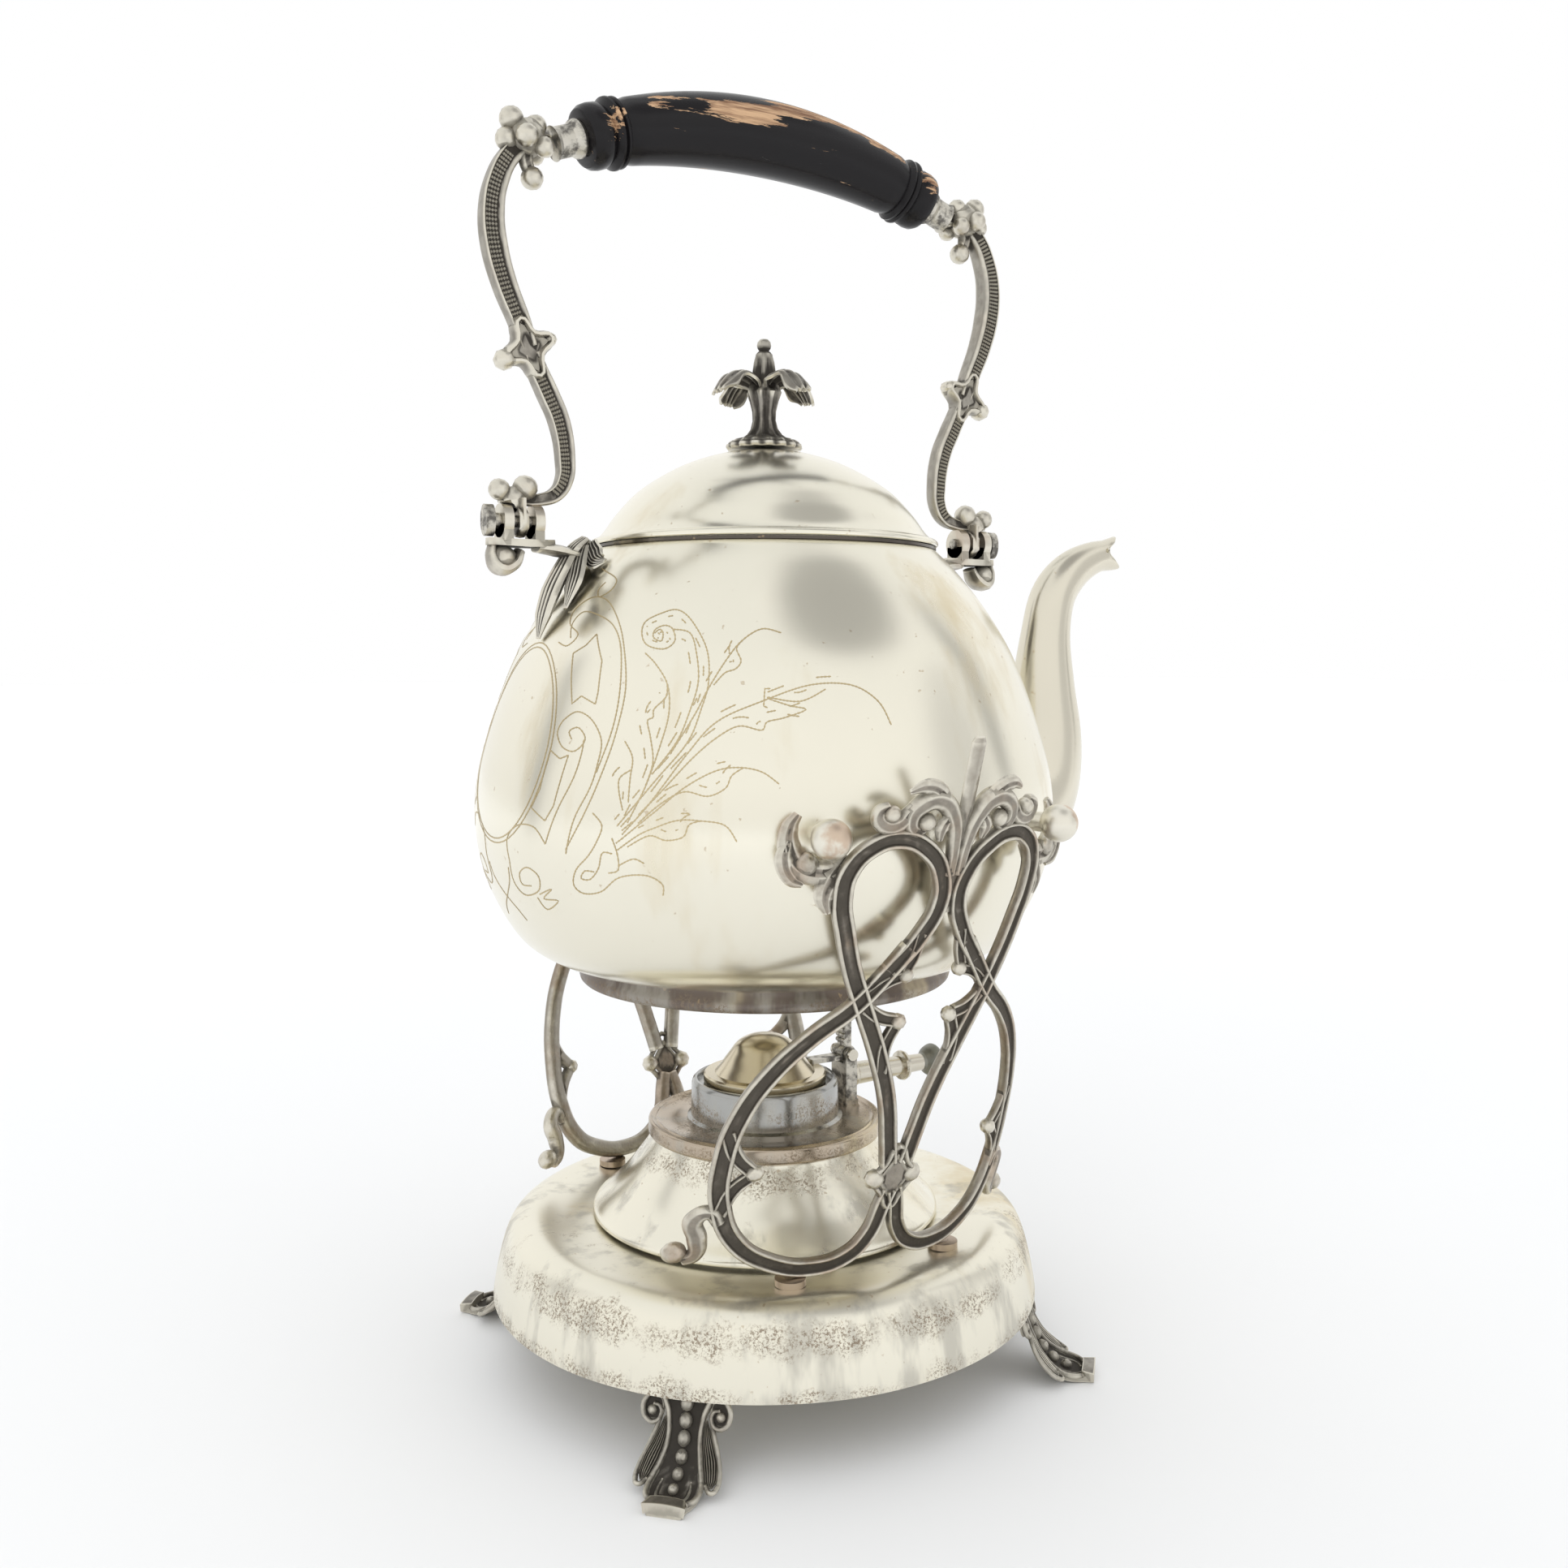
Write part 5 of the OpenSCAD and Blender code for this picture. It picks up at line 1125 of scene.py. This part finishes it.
foot_parts = [
    sheet((12, 40), lambda x, y: (half_width(20 + 20 * y) * x, 20 + 20 * y,
                                  -0.9 - 0.5 * (1 - x * x)), 1.6),
    sheet((12, 8), lambda x, y: (4.9 * x * (1 - 0.12 * y), 1.9 + 1.9 * y,
                                 -0.1 + 0.5 * (1 - x * x)), 2.6),
]
for turn in (1, -1):
    foot_parts += [
        cast_bar([(turn * x, v, size, 0) for x, v, size in (
            (4.6, 3.4, 0.7), (6.3, 5.6, 0.75), (6.9, 8.6, 0.75), (6.5, 11.4, 0.75),
            (5.3, 15.6, 0.7), (4.3, 20.6, 0.7), (4.4, 25, 0.7), (5.4, 29, 0.75),
            (7.2, 31.6, 0.8), (9.4, 31.4, 0.8), (11.2, 29.6, 0.75), (11.6, 27, 0.75),
            (10.4, 24.9, 0.7), (8.4, 24.4, 0.7), (6.9, 26, 0.6), (7.2, 28.2, 0.55),
            (8.9, 28.8, 0.5))], ROUND),
        cast_bar([(turn * x, v, size, -0.2) for x, v, size in (
            (6.5, 27.4, 0.6), (7.5, 23.6, 0.65), (9.2, 18.6, 0.7), (10.7, 13.4, 0.7),
            (10.7, 10.4, 0.7), (9.7, 8.9, 0.65), (7.6, 10.6, 0.6))], ROUND),
        cast_bar([(turn * x, v, size, -0.3) for x, v, size in (
            (5.2, 26, 0.3), (6.2, 21, 0.8), (7.7, 16, 1.1), (8.6, 12, 0.9), (8.8, 10.2, 0.4))],
            VEINED),
        cast_bar([(turn * x, v, size, -0.6) for x, v, size in (
            (1.8, 4, 0.4), (3.6, 5.6, 0.5), (4.2, 8.4, 0.45), (3.8, 11.4, 0.3))], ROUND),
        sheet((8, 8), lambda x, y, s=turn: (s * (9 + 2.7 * x), 28 + 3.3 * y * math.sqrt(
            1.05 - x * x), -0.9), 1.2),
        knob((turn * 9.2, 27.2, -0.1), 1.3, 0.9, 12),
    ]
BEAD_LOW, BEAD_STEP = 8.4, 4.3
for k, radius in enumerate((1.35, 1.45, 1.6, 1.7, 1.75, 1.8)):
    bpy.ops.mesh.primitive_uv_sphere_add(segments=14, ring_count=8, radius=radius,
                                         location=(0, BEAD_LOW + BEAD_STEP * k, 0),
                                         scale=(1, 1.2, 1))
    foot_parts.append(bpy.context.active_object)
foot = gathered("foot_casting", foot_parts)
lay(foot, on_foot)
foot_finish = cast_silver("foot_casting", 0.85, 0.2)
for node, turn in (("foot_front_near", -45), ("foot_front_far", 45), ("foot_rear_near", -135),
                   ("foot_rear_far", 135)):
    cast_foot = foot.copy()
    cast_foot.data = foot.data.copy()
    bpy.context.collection.objects.link(cast_foot)
    cast_foot.data.transform(Matrix.Rotation(math.radians(turn), 4, "Z"))
    cast_foot.name = node + "_casting"
    set_casting(cast_foot, foot_finish, node, "stand")
bpy.data.objects.remove(foot)


# Finial: turned foot with ribs, a waisted stem, four drooping leaves and a fluted column with a
# ball, cast and screwed to the lid.
FINIAL_Z = LID_TOP + 0.15
stem = lathe("finial_casting", [(r, FINIAL_Z + z) for r, z in [
    (0, 0), (10.4, 0), (10.8, 0.6), (10.6, 1.3), (10.1, 1.6), (9.9, 2), (9, 2.6), (6.6, 3.2),
    (5, 4.2), (3.8, 6), (3.2, 8.4), (3.3, 11), (4, 14), (4.8, 16.4), (4.4, 18), (3.8, 19.4),
    (3.4, 22), (3, 25), (2.5, 27.4), (1.9, 28.1), (1.4, 28.5), (1.9, 29.2), (2.1, 30),
    (1.9, 31), (1.2, 31.8), (0, 32)]], 96, 40)
for vertex in stem.data.vertices:
    x, y, z = vertex.co / MM
    rise = z - FINIAL_Z
    turn = math.atan2(y, x)
    flute = (0.055 * math.cos(16 * turn) if rise < 3.2 else
             0.10 * math.cos(8 * turn) if 3.2 <= rise < 17 else
             0.13 * math.cos(6 * turn) if rise < 27 else 0)
    vertex.co.x *= 1 + flute
    vertex.co.y *= 1 + flute


def drooping(x, y):
    """Place on a leaf that leaves the stem along +X, turns down and is ruffled at its edge."""
    out = (y + 1) / 2
    reach = 2.6 + 14.6 * out
    half_leaf = 1.3 + 3.9 * math.sin(math.pi * min(out * 0.86 + 0.06, 1)) ** 0.8
    edge = 1 - 0.16 * math.cos(11 * out) * abs(x)
    ruffle = 1.3 * math.sin(13 * out + (1.2 if x > 0 else 0)) * x * x * out
    height = 18.6 + 3.4 * math.sin(math.pi * out * 0.8) - 5.4 * out ** 3
    return (reach, half_leaf * x * edge,
            height + ruffle - 1.5 * abs(x) ** 1.6 * (1 - out * 0.2) + 0.35 * math.cos(9 * x))


leaves = [stem]
for turn in (10, 100, 190, 280):
    petal = [sheet((16, 20), drooping, 0.8),
             gathered("vein", [cast_bar([(3, 0, 0.5, 19.9), (8, 0, 0.55, 21.7),
                                         (13, 0, 0.5, 19.4), (17, 0, 0.4, 14.8)], ROUND)])]
    for part in petal:
        part.data.transform(Matrix.Rotation(math.radians(turn), 4, "Z")
                            @ Matrix.Translation((0, 0, FINIAL_Z)))
        lay(part)
    leaves += petal
pick(leaves)
bpy.ops.object.join()
set_casting(stem, cast_silver("finial_casting", 0.8, 0.25), "finial", "lid")


# Small turned and sawn parts keep their solids: shafts with ball ends, worn to copper, hinge
# pins and leaves, ferrules, pads, screws, and the lamp's post, lever, handle and knob.
copper_worn = Finish("worn_shaft_silver", metallic=1.0)
worn_cloud = copper_worn.noise(90, 4)
copper = copper_worn.rise(worn_cloud, 0.52, 0.62) * 0.8
copper_worn.paint(copper_worn.blend(copper, (0.80, 0.765, 0.67), (0.60, 0.45, 0.33)),
                  0.30 + worn_cloud * 0.12)
copper_worn.bump(copper_worn.noise(600, 3), 0.00004, 0.3)
dull = Finish("dull_cast_silver", metallic=1.0)
dull_cloud = dull.noise(260, 5, 0.65)
dull_dark = dull.rise(dull_cloud, 0.42, 0.62)
dull.paint(dull.blend(dull_dark, (0.62, 0.59, 0.52), (0.17, 0.16, 0.145)),
           0.36 + dull_dark * 0.2)
dull.bump(dull_cloud, 0.00012, 0.4)
brushed = old_silver("small_parts_silver", 0.5, [], (0.66, 0.62, 0.53))
brown_pad = old_silver("pad_silver", 1.0, [], (0.52, 0.42, 0.33), 0.3)
wick_cotton = Finish("wick_cotton", Roughness=0.95)
weave = wick_cotton.noise(1500, 2, 0.5, wick_cotton.stretched(1, 1, 0.2))
wick_cotton.link(wick_cotton.shader.inputs["Base Color"], wick_cotton.blend(
    weave, (0.80, 0.76, 0.66), (0.56, 0.50, 0.40)))
knob_dark = Finish("lamp_knob_dark", metallic=0.7, Roughness=0.4)
knob_dark.link(knob_dark.shader.inputs["Base Color"], knob_dark.blend(
    knob_dark.noise(300, 4), (0.16, 0.17, 0.15), (0.34, 0.33, 0.28)))
FINISHES = {
    copper_worn: ["trunnion_front_near", "trunnion_front_far", "trunnion_rear_near",
                  "trunnion_rear_far"],
    dull: ["snuffer_post", "snuffer_lever", "handle_pin_front", "handle_pin_rear",
           "handle_ferrule_front", "handle_ferrule_rear", "handle_rod", "finial_nut"],
    brown_pad: ["frame_pads", "frame_screws"],
    brushed: ["lid_hinge_leaf", "lid_hinge_pin", "lid_knuckle", "lamp_handle",
              "lamp_reservoir", "wick_tube", "snuffer_pin"],
    wick_cotton: ["wick"],
    knob_dark: ["lamp_knob"],
}
for finish, nodes in FINISHES.items():
    for node in nodes:
        wear(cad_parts[node], finish)


bpy.ops.object.select_all(action="DESELECT")
